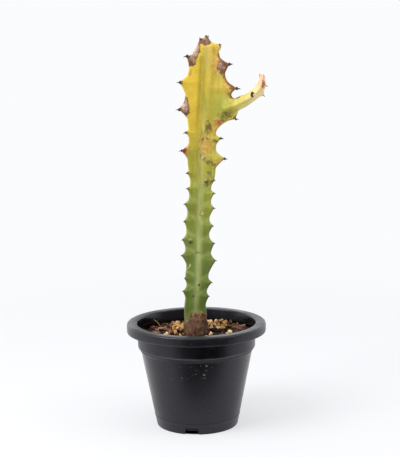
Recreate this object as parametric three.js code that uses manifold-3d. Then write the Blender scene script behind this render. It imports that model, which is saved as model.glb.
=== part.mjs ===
// A three-angled euphorbia with a crested head and one side arm, in a plastic nursery pot.
// Millimetres, +Z up. The origin is the centre of the pot's foot, on the surface that it stands on.
// The plant's flat face looks along -Y, and its arm reaches out towards +X.

import * as THREE from "three";
import { mergeVertices } from "three/addons/utils/BufferGeometryUtils.js";
import Module from "manifold-3d";

const wasm = await Module();
wasm.setup();

// Pot
const POT_HEIGHT = 97.2;
const RIM_RADIUS = 65;
const RIM_INNER_RADIUS = 55.6;
const RIM_SKIRT = 8.3;
const BAND_RADIUS = 55.4;
const BAND_LOW_RADIUS = 54.9;
const BAND_HEIGHT = 74.8;
const WALL_TOP_RADIUS = 52.1;
const WALL_TOP_HEIGHT = 70.8;
const FOOT_RADIUS = 38.1;
const FOOT_WIDTH = 3;
const FLOOR_CLEARANCE = 2;
const WALL = 1.5;
const RING_HEIGHT = 9.5;
const RING_PROUD = 0.35;
const NOTCH_WIDTH = 12.4;
const NOTCH_HEIGHT = 5.9;
const NOTCH_COUNT = 3;
const FIRST_NOTCH_DEG = -97.8;
const DRAIN_RADIUS = 4;
const DRAIN_COUNT = 4;
const DRAIN_CIRCLE = 21;
const POT_SIDES = 64;

// Potting mix
const GAP = 0.35;
const MIX_HEIGHT = 85.2;
const MOUND_HEIGHT = 2.6;
const MOUND_SPREAD = 24;
const MIX_SIDES = 36;
const HOLE_RADIUS = 12.8;
const HOLE_FLOOR = 57.5;
const CHIP_COUNT = 26;
const CHIP_SEED = 11;

// Grit: centre x, centre y, half width, half depth, turn in degrees, heap height, grains, seed
const GRAIN_RADIUS = 2.5;
const LEFT_DRIFT = { x: -21, y: 9, a: 10, b: 25, turn: 6, heap: 2.6, grains: 32, seed: 5 };
const RIGHT_DRIFT = { x: 19, y: 19, a: 10, b: 19, turn: -24, heap: 2.8, grains: 32, seed: 23 };
const PEBBLE = { x: 31.3, y: -2, radius: 2.6 };

// Plant
const STEM_FOOT = 58;
const STEM_TOP = 358.6;
const FOOT_STEM_RADIUS = 12.1;
const LEAN_DEG = 0.62;
const CORK_TOP = 112;
const CORK_ROUND = 92;
const SIDE_RIB_DEG = 28;
const BACK_RIB_DEG = 92;
const RIB_ROOT = 5;
const RIB_ROOT_HALF = 4.5;
const RIB_CREST_HALF = 1.1;
const FACE_DEPTH = 5.7;
const LEVEL_STEP = 2.8;
const SECTION_POINTS = 24;
const SPINE_LENGTH = 2;
const SPINE_RADIUS = 0.75;
const SPINE_SPREAD_DEG = 24;

// The core's line: height, place along X
const CORE_LINE = [
  [58, -0.3], [88, -0.3], [114, -1.2], [137, 0.6], [175, 1.6], [212, 2.8],
  [257, 4.8], [303, 7.3], [345, 9.6], [353, 9.2], [358.6, 7],
];

// The side edges between their teeth, seen from the front: height, place along X
const LEFT_EDGE = [
  [58, -12.4], [88, -12.4], [101, -11.9], [112, -11.3], [120, -10.4], [133, -9.3], [143, -10.2],
  [149, -9.4], [168, -10.3], [184, -9.2], [200, -8.3], [216, -6.5], [229, -5.6], [247, -7.8],
  [266, -6.7], [281, -7.5], [307, -10], [331, -6.4], [346, -2.6], [350, 0], [355, 2.2], [358.6, 3.2],
];
const RIGHT_EDGE = [
  [58, 11.4], [88, 11.4], [105, 9.4], [114, 8.2], [127, 9.2], [141, 10.6], [164, 13], [180, 11.3],
  [195, 11.7], [210, 13], [224, 13.3], [235, 16.7], [261, 17.6], [274.5, 17.7], [281, 22.6],
  [285, 29], [288, 35], [297, 38], [303, 35.5], [307.5, 31.3], [326, 25.5], [345, 20.2],
  [350, 20.2], [355, 13.6], [358.6, 10.8],
];

// Teeth of the side ribs: height, tip along X, length of the upper side, length of the lower side
const LEFT_TEETH = [
  [127.4, -12.8, 5, 7], [139.4, -11, 2.5, 5], [161.2, -14, 5, 9], [176, -13, 6, 8],
  [192.8, -11.4, 6, 8], [208.8, -11, 5, 7], [223, -8.6, 3, 6], [237.2, -8.9, 3, 5],
  [258, -14, 7, 9], [274.2, -10.2, 3, 5], [295.1, -16, 12, 9], [319.4, -15.2, 9, 11],
  [342.6, -8.8, 1.8, 12],
];
const RIGHT_TEETH = [
  [122.6, 11.4, 4, 8], [135.8, 14, 5, 8], [156.6, 17.6, 7, 14], [172.5, 16.3, 5.5, 9],
  [188.6, 15.2, 5, 8], [205, 16.3, 5, 9], [218.7, 16.6, 3.5, 7], [230.5, 16.6, 2, 5],
  [250.8, 26, 8, 10], [269, 22.8, 4, 7], [286.6, 36, 2, 2], [314, 36.8, 9, 6],
  [335.4, 30.2, 7, 10], [352.8, 21.4, 1.8, 6],
];

// The rib behind: height, reach from the core between its teeth. Its teeth follow a seeded rule
const BACK_EDGE = [
  [58, 12], [88, 12], [112, 9.8], [180, 10.6], [250, 12], [300, 15], [338, 12], [358.6, 4],
];
const BACK_TEETH = { from: 118, to: 350, step: 14.5, reach: 4.2, headReach: 7, seed: 3 };

// The arm: place along X, place along Y, height, half thickness
const ARM_LINE = [
  [24, -9, 294.5, 6.5], [31.5, -12, 297.5, 7.1], [38.2, -14, 300.4, 6], [45.9, -15.5, 304.3, 4.8],
  [52.5, -16.5, 309, 4.4], [56.4, -17, 313.9, 4.2], [58.5, -17, 319.8, 3.1], [59.1, -17, 325.1, 1.9],
];
const ARM_LEVELS = 24;
const ARM_POINTS = 12;

// Teeth of the arm: share of its length, degrees round it from the front over below, reach, lean to its tip
const ARM_TEETH = [
  [0.53, -18, 1.2, -0.1], [0.655, 120, 2.4, -0.2], [0.8, 120, 1, 0.1], [0.985, 240, 0.6, 3],
];

// Spines on the crested top: foot x, y, z, then direction x, y, z
const TOP_SPINES = [
  [3.4, -2.5, 357.6, -0.15, 0, 1], [10.3, 0.5, 359.4, 0.3, 0, 1], [6, 4, 357, 0, 0.6, 1],
];
const TOP_KNOB = { x: 9, y: 0, z: 357.8, width: 1.9, height: 3.2 };

const rad = THREE.MathUtils.degToRad;
const smooth = THREE.MathUtils.smoothstep;

function seededRandom(seed) {
  let state = seed;
  return () => {
    state = (state * 1664525 + 1013904223) % 4294967296;
    return state / 4294967296;
  };
}

// A smooth curve through rows of [height, value, ...], read at a height
function along(rows, height, column = 1) {
  const last = rows.length - 2;
  let i = 0;
  while (i < last && rows[i + 1][0] <= height) i += 1;
  const slope = (j) => {
    const a = rows[Math.max(j - 1, 0)];
    const b = rows[Math.min(j + 1, rows.length - 1)];
    return (b[column] - a[column]) / (b[0] - a[0]);
  };
  const [low, high] = [rows[i], rows[i + 1]];
  const span = high[0] - low[0];
  const t = THREE.MathUtils.clamp((height - low[0]) / span, 0, 1);
  const rise = high[column] - low[column];
  const a = slope(i) * span - rise;
  const b = rise - slope(i + 1) * span;
  return low[column] + rise * t + t * (1 - t) * (a * (1 - t) + b * t);
}

// Share of a tooth's reach at a height: hollow above the tip, fuller below it
function toothShare([tip, , above, below], height) {
  const away = height - tip;
  if (away >= 0) return Math.max(0, 1 - away / above) ** 2;
  return Math.max(0, 1 + away / below) ** 1.4;
}

function toothedEdge(edge, teeth, height) {
  const plain = along(edge, height);
  let most = 0;
  for (const tooth of teeth) {
    const reach = (tooth[1] - along(edge, tooth[0])) * toothShare(tooth, height);
    if (Math.abs(reach) > Math.abs(most)) most = reach;
  }
  return plain + most;
}

function solid(geometry) {
  const bare = geometry.clone();
  for (const name of ["normal", "uv"]) bare.deleteAttribute(name);
  const merged = mergeVertices(bare, 1e-4);
  return new wasm.Manifold(new wasm.Mesh({
    numProp: 3,
    vertProperties: Float32Array.from(merged.attributes.position.array),
    triVerts: Uint32Array.from(merged.index.array),
  }));
}

function joined(pieces) {
  return pieces.reduce((whole, piece) => whole.add(piece));
}

// The largest body of a solid, without the loose scraps that trimming leaves
function largest(body) {
  return body.decompose().reduce((most, piece) => (piece.volume() > most.volume() ? piece : most));
}

function named(name, body, colour, roughness) {
  const { vertProperties, triVerts } = body.getMesh();
  const geometry = new THREE.BufferGeometry();
  geometry.setAttribute("position", new THREE.BufferAttribute(vertProperties, 3));
  geometry.setIndex(new THREE.BufferAttribute(triVerts, 1));
  geometry.computeVertexNormals();
  const material = new THREE.MeshStandardMaterial({ color: colour, roughness, metalness: 0 });
  const mesh = new THREE.Mesh(geometry, material);
  mesh.name = name;
  return mesh;
}

// Moves each point of a closed unit cylinder, upright along Z, to place(angle share, level, radius)
function shapedCylinder(points, levels, place) {
  const skin = new THREE.CylinderGeometry(1, 1, 1, points, levels).rotateX(Math.PI / 2);
  const at = skin.attributes.position;
  for (let i = 0; i < at.count; i += 1) {
    const turn = Math.atan2(at.getY(i), at.getX(i)) / (2 * Math.PI);
    const level = Math.round((at.getZ(i) + 0.5) * levels);
    const radius = Math.hypot(at.getX(i), at.getY(i));
    const point = Math.round((turn + 1) * points) % points;
    at.setXYZ(i, ...place(point, level, Math.round(radius)));
  }
  return skin;
}

function wallRadius(height) {
  return FOOT_RADIUS + ((WALL_TOP_RADIUS - FOOT_RADIUS) * height) / WALL_TOP_HEIGHT;
}

function potProfile() {
  const rimUnder = POT_HEIGHT - WALL - 0.2;
  const skirtFoot = POT_HEIGHT - RIM_SKIRT;
  const floorTop = FLOOR_CLEARANCE + WALL + 0.1;
  return [
    [0, FLOOR_CLEARANCE],
    [FOOT_RADIUS - FOOT_WIDTH - 0.6, FLOOR_CLEARANCE],
    [FOOT_RADIUS - FOOT_WIDTH, 0],
    [FOOT_RADIUS - 0.5, 0],
    [wallRadius(0.5), 0.5],
    [wallRadius(RING_HEIGHT - 0.6), RING_HEIGHT - 0.6],
    [wallRadius(RING_HEIGHT) + RING_PROUD, RING_HEIGHT],
    [wallRadius(RING_HEIGHT + 0.6), RING_HEIGHT + 0.6],
    [WALL_TOP_RADIUS, WALL_TOP_HEIGHT],
    [BAND_LOW_RADIUS - 0.4, BAND_HEIGHT - 0.6],
    [BAND_LOW_RADIUS, BAND_HEIGHT + 0.4],
    [BAND_RADIUS, skirtFoot],
    [RIM_INNER_RADIUS + WALL, rimUnder - 2.5],
    [RIM_INNER_RADIUS + WALL + 0.6, rimUnder],
    [RIM_RADIUS - WALL - 0.2, rimUnder],
    [RIM_RADIUS - WALL, skirtFoot + 0.4],
    [RIM_RADIUS - 0.9, skirtFoot],
    [RIM_RADIUS - 0.3, skirtFoot + 0.6],
    [RIM_RADIUS, POT_HEIGHT - 1.4],
    [RIM_RADIUS - 0.9, POT_HEIGHT],
    [RIM_INNER_RADIUS + 0.9, POT_HEIGHT],
    [RIM_INNER_RADIUS, POT_HEIGHT - 0.9],
    [BAND_RADIUS - WALL, skirtFoot - 1.5],
    [BAND_LOW_RADIUS - WALL, BAND_HEIGHT + 1.5],
    [WALL_TOP_RADIUS - WALL, WALL_TOP_HEIGHT + 0.5],
    [wallRadius(floorTop + 1) - WALL, floorTop + 1],
    [wallRadius(floorTop) - WALL - 0.8, floorTop],
    [0, floorTop],
  ].map(([radius, height]) => new THREE.Vector2(radius, height));
}

function pot() {
  let body = solid(new THREE.LatheGeometry(potProfile(), POT_SIDES).rotateX(Math.PI / 2));
  const notch = new THREE.Shape([
    new THREE.Vector2(-NOTCH_WIDTH / 2 - 0.4, -1),
    new THREE.Vector2(NOTCH_WIDTH / 2 + 0.4, -1),
    new THREE.Vector2(NOTCH_WIDTH / 2 - 0.5, NOTCH_HEIGHT),
    new THREE.Vector2(-NOTCH_WIDTH / 2 + 0.5, NOTCH_HEIGHT),
  ]);
  const cutter = new THREE.ExtrudeGeometry(notch, { depth: 8, bevelEnabled: false });
  cutter.rotateX(Math.PI / 2).translate(0, 41, 0);
  for (let i = 0; i < NOTCH_COUNT; i += 1) {
    const turn = rad(FIRST_NOTCH_DEG - 90 + (360 * i) / NOTCH_COUNT);
    body = body.subtract(solid(cutter.clone().rotateZ(turn)));
  }
  for (let i = 0; i <= DRAIN_COUNT; i += 1) {
    const drain = new THREE.CylinderGeometry(DRAIN_RADIUS, DRAIN_RADIUS, 8, 12).rotateX(Math.PI / 2);
    const out = i === DRAIN_COUNT ? 0 : DRAIN_CIRCLE;
    const turn = (2 * Math.PI * i) / DRAIN_COUNT;
    drain.translate(out * Math.cos(turn), out * Math.sin(turn), FLOOR_CLEARANCE);
    body = body.subtract(solid(drain));
  }
  return named("pot", body, 0x26272b, 0.5);
}

// Height of the mix's top: a mound at the stem, lower on the left, with shallow lumps
function mixTop(x, y) {
  const out = Math.hypot(x, y);
  const mound = MOUND_HEIGHT * Math.exp(-((out / MOUND_SPREAD) ** 2));
  const lean = 0.022 * x + 0.012 * y;
  const lumps = Math.sin(x * 0.31 + 1) * Math.cos(y * 0.27) + 0.6 * Math.sin(x * 0.17 - y * 0.41);
  return MIX_HEIGHT + mound + lean + 0.55 * lumps;
}

// The mix without its chips: a turned body with a hole for the stem, its top rings lifted to mixTop
function mixBody(lift = 0) {
  const wallSide = (height) => wallRadius(height) - WALL - GAP;
  const foot = FLOOR_CLEARANCE + WALL + 0.5;
  const brim = BAND_LOW_RADIUS - WALL - GAP - 0.1;
  const rings = [brim, 47, 41, 35, 29.5, 24, 19, 15.5, HOLE_RADIUS];
  const profile = [
    [0, foot],
    [wallSide(0) - 0.5, foot],
    [wallSide(6), 6],
    [wallSide(WALL_TOP_HEIGHT) - 0.1, WALL_TOP_HEIGHT + 0.3],
    [brim - 0.3, BAND_HEIGHT + 2.5],
    ...rings.map((radius) => [radius, MIX_HEIGHT]),
    [HOLE_RADIUS, HOLE_FLOOR],
    [0, HOLE_FLOOR],
  ].map(([radius, height]) => new THREE.Vector2(radius, height));
  const body = new THREE.LatheGeometry(profile, MIX_SIDES).rotateX(Math.PI / 2);
  const at = body.attributes.position;
  for (let i = 0; i < at.count; i += 1) {
    const onTop = Math.abs(at.getZ(i) - MIX_HEIGHT) < 1e-3;
    if (onTop) at.setZ(i, mixTop(at.getX(i), at.getY(i)) + lift);
  }
  return solid(body);
}

function insideDrift(drift, x, y, margin) {
  const turned = new THREE.Vector2(x - drift.x, y - drift.y).rotateAround(new THREE.Vector2(), rad(-drift.turn));
  return Math.hypot(turned.x / (drift.a + margin), turned.y / (drift.b + margin));
}

// Flat flakes of bark, half sunk in the mix, clear of the grit, the pebble, the stem and the wall
function barkChips() {
  const random = seededRandom(CHIP_SEED);
  const chips = [];
  while (chips.length < CHIP_COUNT) {
    const out = 19 + 29 * Math.sqrt(random());
    const turn = 2 * Math.PI * random();
    const [x, y] = [out * Math.cos(turn), out * Math.sin(turn)];
    const [length, width, thick] = [5 + 6 * random(), 3.5 + 3 * random(), 1.8 + 1.2 * random()];
    const tilt = [0.3 * (random() - 0.5), 0.3 * (random() - 0.5), Math.PI * random()];
    const reach = length / 2 + 1;
    const covered = [LEFT_DRIFT, RIGHT_DRIFT].some((drift) => insideDrift(drift, x, y, reach + 2.5) < 1);
    const onPebble = Math.hypot(x - PEBBLE.x, y - PEBBLE.y) < PEBBLE.radius + reach + 1;
    if (covered || onPebble || out + reach > BAND_LOW_RADIUS - WALL - 1.5) continue;
    const chip = new THREE.BoxGeometry(length, width, thick);
    const at = chip.attributes.position;
    for (let i = 0; i < at.count; i += 1) {
      const skew = 1 - 0.24 * (Math.sign(at.getX(i)) === Math.sign(at.getY(i)) ? 1 : 0);
      at.setXY(i, at.getX(i) * skew, at.getY(i) * skew);
    }
    chip.rotateX(tilt[0]).rotateY(tilt[1]).rotateZ(tilt[2]);
    chips.push(solid(chip.translate(x, y, mixTop(x, y) + 0.15 * thick)));
  }
  return chips;
}

function pottingMix() {
  return named("potting_mix", joined([mixBody(), ...barkChips()]), 0x33261f, 0.95);
}

function grain(random, radius, x, y, z) {
  const lump = new THREE.OctahedronGeometry(radius * 1.12, 0);
  lump.scale(1.1, 0.75 + 0.35 * random(), 0.7 + 0.25 * random());
  lump.rotateX(3 * random()).rotateY(3 * random()).rotateZ(3 * random());
  return solid(lump.translate(x, y, z));
}

// A heap of grains: each one touches an earlier one, over a low core that they stand out of
function drift(area) {
  const random = seededRandom(area.seed);
  const heapAt = (x, y) => area.heap * Math.max(0, 1 - (insideDrift(area, x, y, 0) / 0.9) ** 2);
  const core = new THREE.SphereGeometry(1, 20, 10).scale(area.a * 0.8, area.b * 0.8, area.heap + 1.2);
  core.rotateZ(rad(area.turn)).translate(area.x, area.y, mixTop(area.x, area.y));
  const centres = [[area.x, area.y, GRAIN_RADIUS]];
  for (let tries = 0; tries < 4000 && centres.length < area.grains; tries += 1) {
    const from = centres[Math.floor(random() * centres.length)];
    const radius = GRAIN_RADIUS * (0.8 + 0.4 * random());
    const turn = 2 * Math.PI * random();
    const step = 0.78 * (from[2] + radius);
    const [x, y] = [from[0] + step * Math.cos(turn), from[1] + step * Math.sin(turn)];
    const crowded = centres.some((c) => Math.hypot(x - c[0], y - c[1]) < 0.7 * (c[2] + radius));
    const onStem = Math.hypot(x, y) < HOLE_RADIUS + 1.5;
    if (!crowded && !onStem && insideDrift(area, x, y, 0) < 1) centres.push([x, y, radius]);
  }
  const grains = centres.map(([x, y, radius]) => (
    grain(random, radius, x, y, mixTop(x, y) + heapAt(x, y) + 0.35 * radius)
  ));
  const stemRoom = new THREE.CylinderGeometry(HOLE_RADIUS + 0.3, HOLE_RADIUS + 0.3, 80, 40);
  stemRoom.rotateX(Math.PI / 2).translate(0, 0, 90);
  return largest(joined([solid(core), ...grains]).subtract(mixBody(0.3)).subtract(solid(stemRoom)));
}

function pebble() {
  const random = seededRandom(8);
  const ground = mixTop(PEBBLE.x, PEBBLE.y);
  const lump = grain(random, PEBBLE.radius, PEBBLE.x, PEBBLE.y, ground + 0.55 * PEBBLE.radius);
  return named("pale_pebble", lump.subtract(mixBody(0.3)), 0xd9c98a, 0.85);
}

function backTeeth() {
  const random = seededRandom(BACK_TEETH.seed);
  const teeth = [];
  let height = BACK_TEETH.from;
  while (height < BACK_TEETH.to) {
    const share = smooth(height, 230, 320);
    const reach = THREE.MathUtils.lerp(BACK_TEETH.reach, BACK_TEETH.headReach, share);
    const tip = along(BACK_EDGE, height) + reach * (0.75 + 0.5 * random());
    teeth.push([height, tip, 5 + 3 * share, 7.5 + 3 * share]);
    height += BACK_TEETH.step * (0.9 + 0.3 * random()) * (1 + 0.35 * share);
  }
  return teeth;
}

const backRibTeeth = backTeeth();

// The three ribs at a height: direction in degrees, and reach from the core's line
function ribsAt(height) {
  const core = along(CORE_LINE, height);
  const side = Math.cos(rad(SIDE_RIB_DEG));
  return [
    { turn: -SIDE_RIB_DEG, reach: (toothedEdge(RIGHT_EDGE, RIGHT_TEETH, height) - core) / side },
    { turn: BACK_RIB_DEG, reach: toothedEdge(BACK_EDGE, backRibTeeth, height) },
    { turn: 180 + SIDE_RIB_DEG, reach: (core - toothedEdge(LEFT_EDGE, LEFT_TEETH, height)) / side },
  ];
}

// Share of the way from a rib's crest to its root, and whether the flank faces the next rib
const SECTION_STEPS = [
  [0, 0], [0.06, 1], [0.38, 1], [0.78, 1], [1, 2], [0.78, -1], [0.38, -1], [0.06, -1],
];

function sectionPoint(ribs, point, taper) {
  const [share, side] = SECTION_STEPS[point % 8];
  const face = Math.floor(point / 8);
  const next = ribs[(face + 1) % 3];
  if (side === 2) {
    const middle = rad((ribs[face].turn + next.turn + (next.turn < ribs[face].turn ? 360 : 0)) / 2);
    return [FACE_DEPTH * taper * Math.cos(middle), FACE_DEPTH * taper * Math.sin(middle)];
  }
  const rib = side < 0 ? next : ribs[face];
  const root = Math.min(RIB_ROOT * taper, 0.6 * rib.reach);
  const out = rib.reach - share * (rib.reach - root);
  const half = side === 0 ? 0 : RIB_CREST_HALF + (RIB_ROOT_HALF - RIB_CREST_HALF) * share ** 1.2;
  const across = half * taper * side;
  const [c, s] = [Math.cos(rad(rib.turn)), Math.sin(rad(rib.turn))];
  return [out * c - across * s, out * s + across * c];
}

// Levels are even, but the one nearest to each tooth's tip sits on it
function stemLevels() {
  const levels = [STEM_FOOT, STEM_FOOT + 4, 84];
  const count = Math.round((STEM_TOP - 86) / LEVEL_STEP);
  for (let i = 0; i <= count; i += 1) levels.push(86 + ((STEM_TOP - 86) * i) / count);
  for (const [tip] of [...backRibTeeth, ...LEFT_TEETH, ...RIGHT_TEETH]) {
    const away = levels.map((height) => Math.abs(height - tip));
    levels[away.indexOf(Math.min(...away))] = tip;
  }
  return levels;
}

function stemCore() {
  const levels = stemLevels();
  const place = (point, level, radius) => {
    const height = levels[level];
    const core = along(CORE_LINE, height);
    if (radius === 0) return [core, 0, height];
    const taper = 1 - 0.45 * smooth(height, 350, STEM_TOP);
    const [x, y] = sectionPoint(ribsAt(height), point, taper);
    const round = 1 - smooth(height, CORK_ROUND, CORK_TOP);
    const waist = FOOT_STEM_RADIUS - 2 * smooth(height, 86, CORK_TOP) - 2.5 * (1 - smooth(height, 57, 62));
    const scale = THREE.MathUtils.lerp(1, waist / Math.hypot(x, y), round);
    return [core + x * scale, y * scale, height];
  };
  return solid(shapedCylinder(SECTION_POINTS, levels.length - 1, place));
}

// The arm has three low ribs of its own: one towards the front, one below and one above
const armLine = new THREE.CatmullRomCurve3(ARM_LINE.map(([x, y, z]) => new THREE.Vector3(x, y, z)));
const armThickness = ARM_LINE.map(([, , , half], i) => [i / (ARM_LINE.length - 1), half]);

// Direction out of the arm at an angle round it, from the front over below
function armOutward(share, turn) {
  const front = new THREE.Vector3(0, -1, 0);
  const below = new THREE.Vector3().crossVectors(armLine.getTangent(share), front).normalize();
  return front.multiplyScalar(Math.cos(turn)).addScaledVector(below, Math.sin(turn));
}

function armPoint(share, turn, depth = 0) {
  const ridge = 0.5 + 0.5 * Math.cos(3 * turn);
  let reach = along(armThickness, share) * (0.8 + 0.35 * ridge ** 1.5);
  for (const [at, degrees, height] of ARM_TEETH) {
    const near = Math.max(0, 1 - Math.abs(share - at) / 0.08) * Math.max(0, Math.cos(turn - rad(degrees))) ** 6;
    reach += height * near;
  }
  return armLine.getPoint(share).addScaledVector(armOutward(share, turn), reach - depth);
}

function arm() {
  const place = (point, level, radius) => {
    const share = level / ARM_LEVELS;
    if (radius === 0) return armLine.getPoint(share).toArray();
    return armPoint(share, (2 * Math.PI * point) / ARM_POINTS).toArray();
  };
  return solid(shapedCylinder(ARM_POINTS, ARM_LEVELS, place));
}

function spine(foot, direction) {
  const cone = new THREE.ConeGeometry(SPINE_RADIUS, SPINE_LENGTH + 1, 3);
  cone.translate(0, (SPINE_LENGTH + 1) / 2 - 1, 0);
  const up = new THREE.Vector3(0, 1, 0);
  cone.applyQuaternion(new THREE.Quaternion().setFromUnitVectors(up, direction.clone().normalize()));
  return solid(cone.translate(foot.x, foot.y, foot.z));
}

// A pair of spines stands at each tooth's tip, spread to the two sides of the rib
function ribSpines() {
  const spines = [];
  [RIGHT_TEETH, backRibTeeth, LEFT_TEETH].forEach((teeth, rib) => {
    for (const [height] of teeth) {
      const { turn, reach } = ribsAt(height)[rib];
      const out = reach - 0.6;
      const foot = new THREE.Vector3(
        along(CORE_LINE, height) + out * Math.cos(rad(turn)), out * Math.sin(rad(turn)), height,
      );
      for (const side of [-1, 1]) {
        const way = rad(turn + side * SPINE_SPREAD_DEG);
        spines.push(spine(foot, new THREE.Vector3(Math.cos(way), Math.sin(way), -0.12)));
      }
    }
  });
  return spines;
}

function armSpines() {
  return ARM_TEETH.flatMap(([share, degrees, , lean]) => [-1, 1].map((side) => {
    const way = armOutward(share, rad(degrees + side * SPINE_SPREAD_DEG));
    way.addScaledVector(armLine.getTangent(share), lean);
    return spine(armPoint(share, rad(degrees), 0.6), way);
  }));
}

function topSpines() {
  return TOP_SPINES.map(([x, y, z, ...way]) => spine(new THREE.Vector3(x, y, z), new THREE.Vector3(...way)));
}

function stem() {
  const { x, y, z, width, height } = TOP_KNOB;
  const knob = new THREE.IcosahedronGeometry(1, 1).scale(width, width, height).translate(x, y, z);
  const spines = [...ribSpines(), ...armSpines(), ...topSpines()];
  const body = joined([stemCore(), arm(), solid(knob), ...spines]);
  const plant = named("stem", body, 0x8f9a3c, 0.6);
  plant.geometry.translate(0, 0, -STEM_FOOT).rotateY(rad(LEAN_DEG)).translate(0, 0, STEM_FOOT);
  return plant;
}

const euphorbia = new THREE.Group();
euphorbia.add(
  pot(),
  pottingMix(),
  named("grit_left", drift(LEFT_DRIFT), 0xb98a55, 0.9),
  named("grit_right", drift(RIGHT_DRIFT), 0xb98a55, 0.9),
  pebble(),
  stem(),
);

export default euphorbia;
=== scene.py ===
# %% [markdown]
# # A potted euphorbia, in cells
#
# The plant is a three-angled euphorbia: a ribbed green stem with thorny teeth, a wide golden head and one
# side arm. It stands in a black nursery pot, filled with bark, peat and tan pumice. A frame of plain solids
# gives every place and size. Here each solid gets the finer body and the finish that the eye expects.
# Lengths of the pot and the plant are millimetres, as a ruler gives them, and become metres where a mesh
# is made. The camera, the lights and the floor are placed in metres.

# %% Load the fixed frame
import math

import bmesh
import bpy
import numpy as np
from mathutils import Euler, Matrix, Vector, noise


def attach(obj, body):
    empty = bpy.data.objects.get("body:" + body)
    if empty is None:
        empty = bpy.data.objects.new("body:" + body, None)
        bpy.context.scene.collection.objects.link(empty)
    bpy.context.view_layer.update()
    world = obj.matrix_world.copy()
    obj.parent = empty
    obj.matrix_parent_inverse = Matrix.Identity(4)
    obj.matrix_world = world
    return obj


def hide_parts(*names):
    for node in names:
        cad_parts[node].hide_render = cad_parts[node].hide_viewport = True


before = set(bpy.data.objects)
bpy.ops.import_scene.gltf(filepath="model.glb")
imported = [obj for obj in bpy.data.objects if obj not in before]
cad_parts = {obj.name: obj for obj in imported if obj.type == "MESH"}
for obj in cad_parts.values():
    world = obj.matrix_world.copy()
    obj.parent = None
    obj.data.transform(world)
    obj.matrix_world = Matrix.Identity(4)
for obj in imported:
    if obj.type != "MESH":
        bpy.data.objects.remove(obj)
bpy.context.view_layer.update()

MM = 0.001
print("nodes of the frame:", ", ".join(sorted(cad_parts)))

# %% [markdown]
# ## The camera
#
# The picture was taken from a metre away, a little above the rim, with a long lens. The lens and the place
# were found from the pot: its rim and its foot are circles of known size, and each shows as an ellipse.
# A Track To constraint could aim it as well, but a plain place, pitch and roll can be read here.

# %% Camera
PHOTO_HEIGHT = 457
FOCAL_PIXELS = 1093.6
SENSOR = 36.0
CAMERA_PLACE = (0.0045, -1.0, 0.3327)
CAMERA_PITCH_DEG = 8.4
CAMERA_ROLL_DEG = 0.7

camera_data = bpy.data.cameras.new("camera")
camera_data.sensor_width = SENSOR
camera_data.lens = FOCAL_PIXELS / PHOTO_HEIGHT * SENSOR
camera = bpy.data.objects.new("camera", camera_data)
camera.matrix_world = (
    Matrix.Translation(CAMERA_PLACE)
    @ Matrix.Rotation(math.radians(90 - CAMERA_PITCH_DEG), 4, "X")
    @ Matrix.Rotation(math.radians(-CAMERA_ROLL_DEG), 4, "Z")
)
bpy.context.scene.collection.objects.link(camera)
bpy.context.scene.camera = camera
print(f"lens {camera_data.lens:.1f} mm, {CAMERA_PLACE[2] * 1000:.0f} mm above the floor")

# %% [markdown]
# ## Small helpers for shader nodes
#
# A procedural material is a graph. Written out call by call it is long, so a few helpers keep each finish
# short enough to read: one adds a node and links or sets its sockets, one does sums, one mixes two colours,
# one reads a colour off a ramp and one reads a value of the mesh. Colours are given as a screen shows them
# and become linear light here.

# %% Node helpers
def hue(red, green, blue):
    """A screen colour, 0 to 255, as the linear colour that shaders work in."""
    screen = np.array([red, green, blue]) / 255
    linear = np.where(screen <= 0.04045, screen / 12.92, ((screen + 0.055) / 1.055) ** 2.4)
    return (*map(float, linear), 1.0)


def node(tree, kind, values=None, **settings):
    """Adds a node. Settings are its options. Values are its sockets, and a socket given there is linked."""
    made = tree.nodes.new(kind)
    for name, value in settings.items():
        setattr(made, name, value)
    for name, value in (values or {}).items():
        if isinstance(value, bpy.types.NodeSocket):
            tree.links.new(value, made.inputs[name])
        else:
            made.inputs[name].default_value = value
    return made


def maths(tree, operation, *values):
    return node(tree, "ShaderNodeMath", dict(enumerate(values)), operation=operation).outputs[0]


def remap(tree, value, low, high, to_low=0.0, to_high=1.0):
    sockets = {"Value": value, "From Min": low, "From Max": high, "To Min": to_low, "To Max": to_high}
    return node(tree, "ShaderNodeMapRange", sockets, interpolation_type="SMOOTHSTEP").outputs[0]


def mixed(tree, share, first, second):
    sockets = {0: share, 6: first, 7: second}
    return node(tree, "ShaderNodeMix", sockets, data_type="RGBA").outputs[2]


def ramp(tree, value, stops):
    """A smooth colour ramp through stops of (place, colour)."""
    made = node(tree, "ShaderNodeValToRGB", {0: value})
    made.color_ramp.interpolation = "EASE"
    while len(made.color_ramp.elements) < len(stops):
        made.color_ramp.elements.new(0.5)
    for element, (place, colour) in zip(made.color_ramp.elements, stops):
        element.position = place
        element.color = colour
    return made.outputs[0]


def mask(tree, name):
    """A value that the mesh carries at each of its points."""
    return node(tree, "ShaderNodeAttribute", attribute_name=name).outputs["Fac"]


def new_finish(name):
    """A fresh material, with its graph and the sockets of its one shader."""
    material = bpy.data.materials.new(name)
    material.use_nodes = True
    tree = material.node_tree
    return material, tree, tree.nodes["Principled BSDF"].inputs


def bump(tree, shader, height, distance):
    made = node(tree, "ShaderNodeBump", {"Height": height, "Distance": distance, "Strength": 1.0})
    tree.links.new(made.outputs[0], shader["Normal"])


print("helpers ready")

# %% [markdown]
# ## The studio
#
# The picture is high-key: a white sweep below and behind, broad soft light from both sides and above, and
# a darker room behind the camera. That dark room is what keeps the front of the pot nearly black, while its
# sides catch a white sheen. The surroundings could be walls and panels. A sky shader does it with less:
# the camera sees even white, and the pot and plant see a room that is dim in front and bright at the sides.

# %% Surroundings
BACKGROUND = (0.962, 0.970, 0.988, 1.0)
FRONT_LIGHT = 0.25
BACK_LIGHT = 0.44
SIDE_LIGHT = 0.9
SWEEP_LIGHT = 1.1

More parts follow.
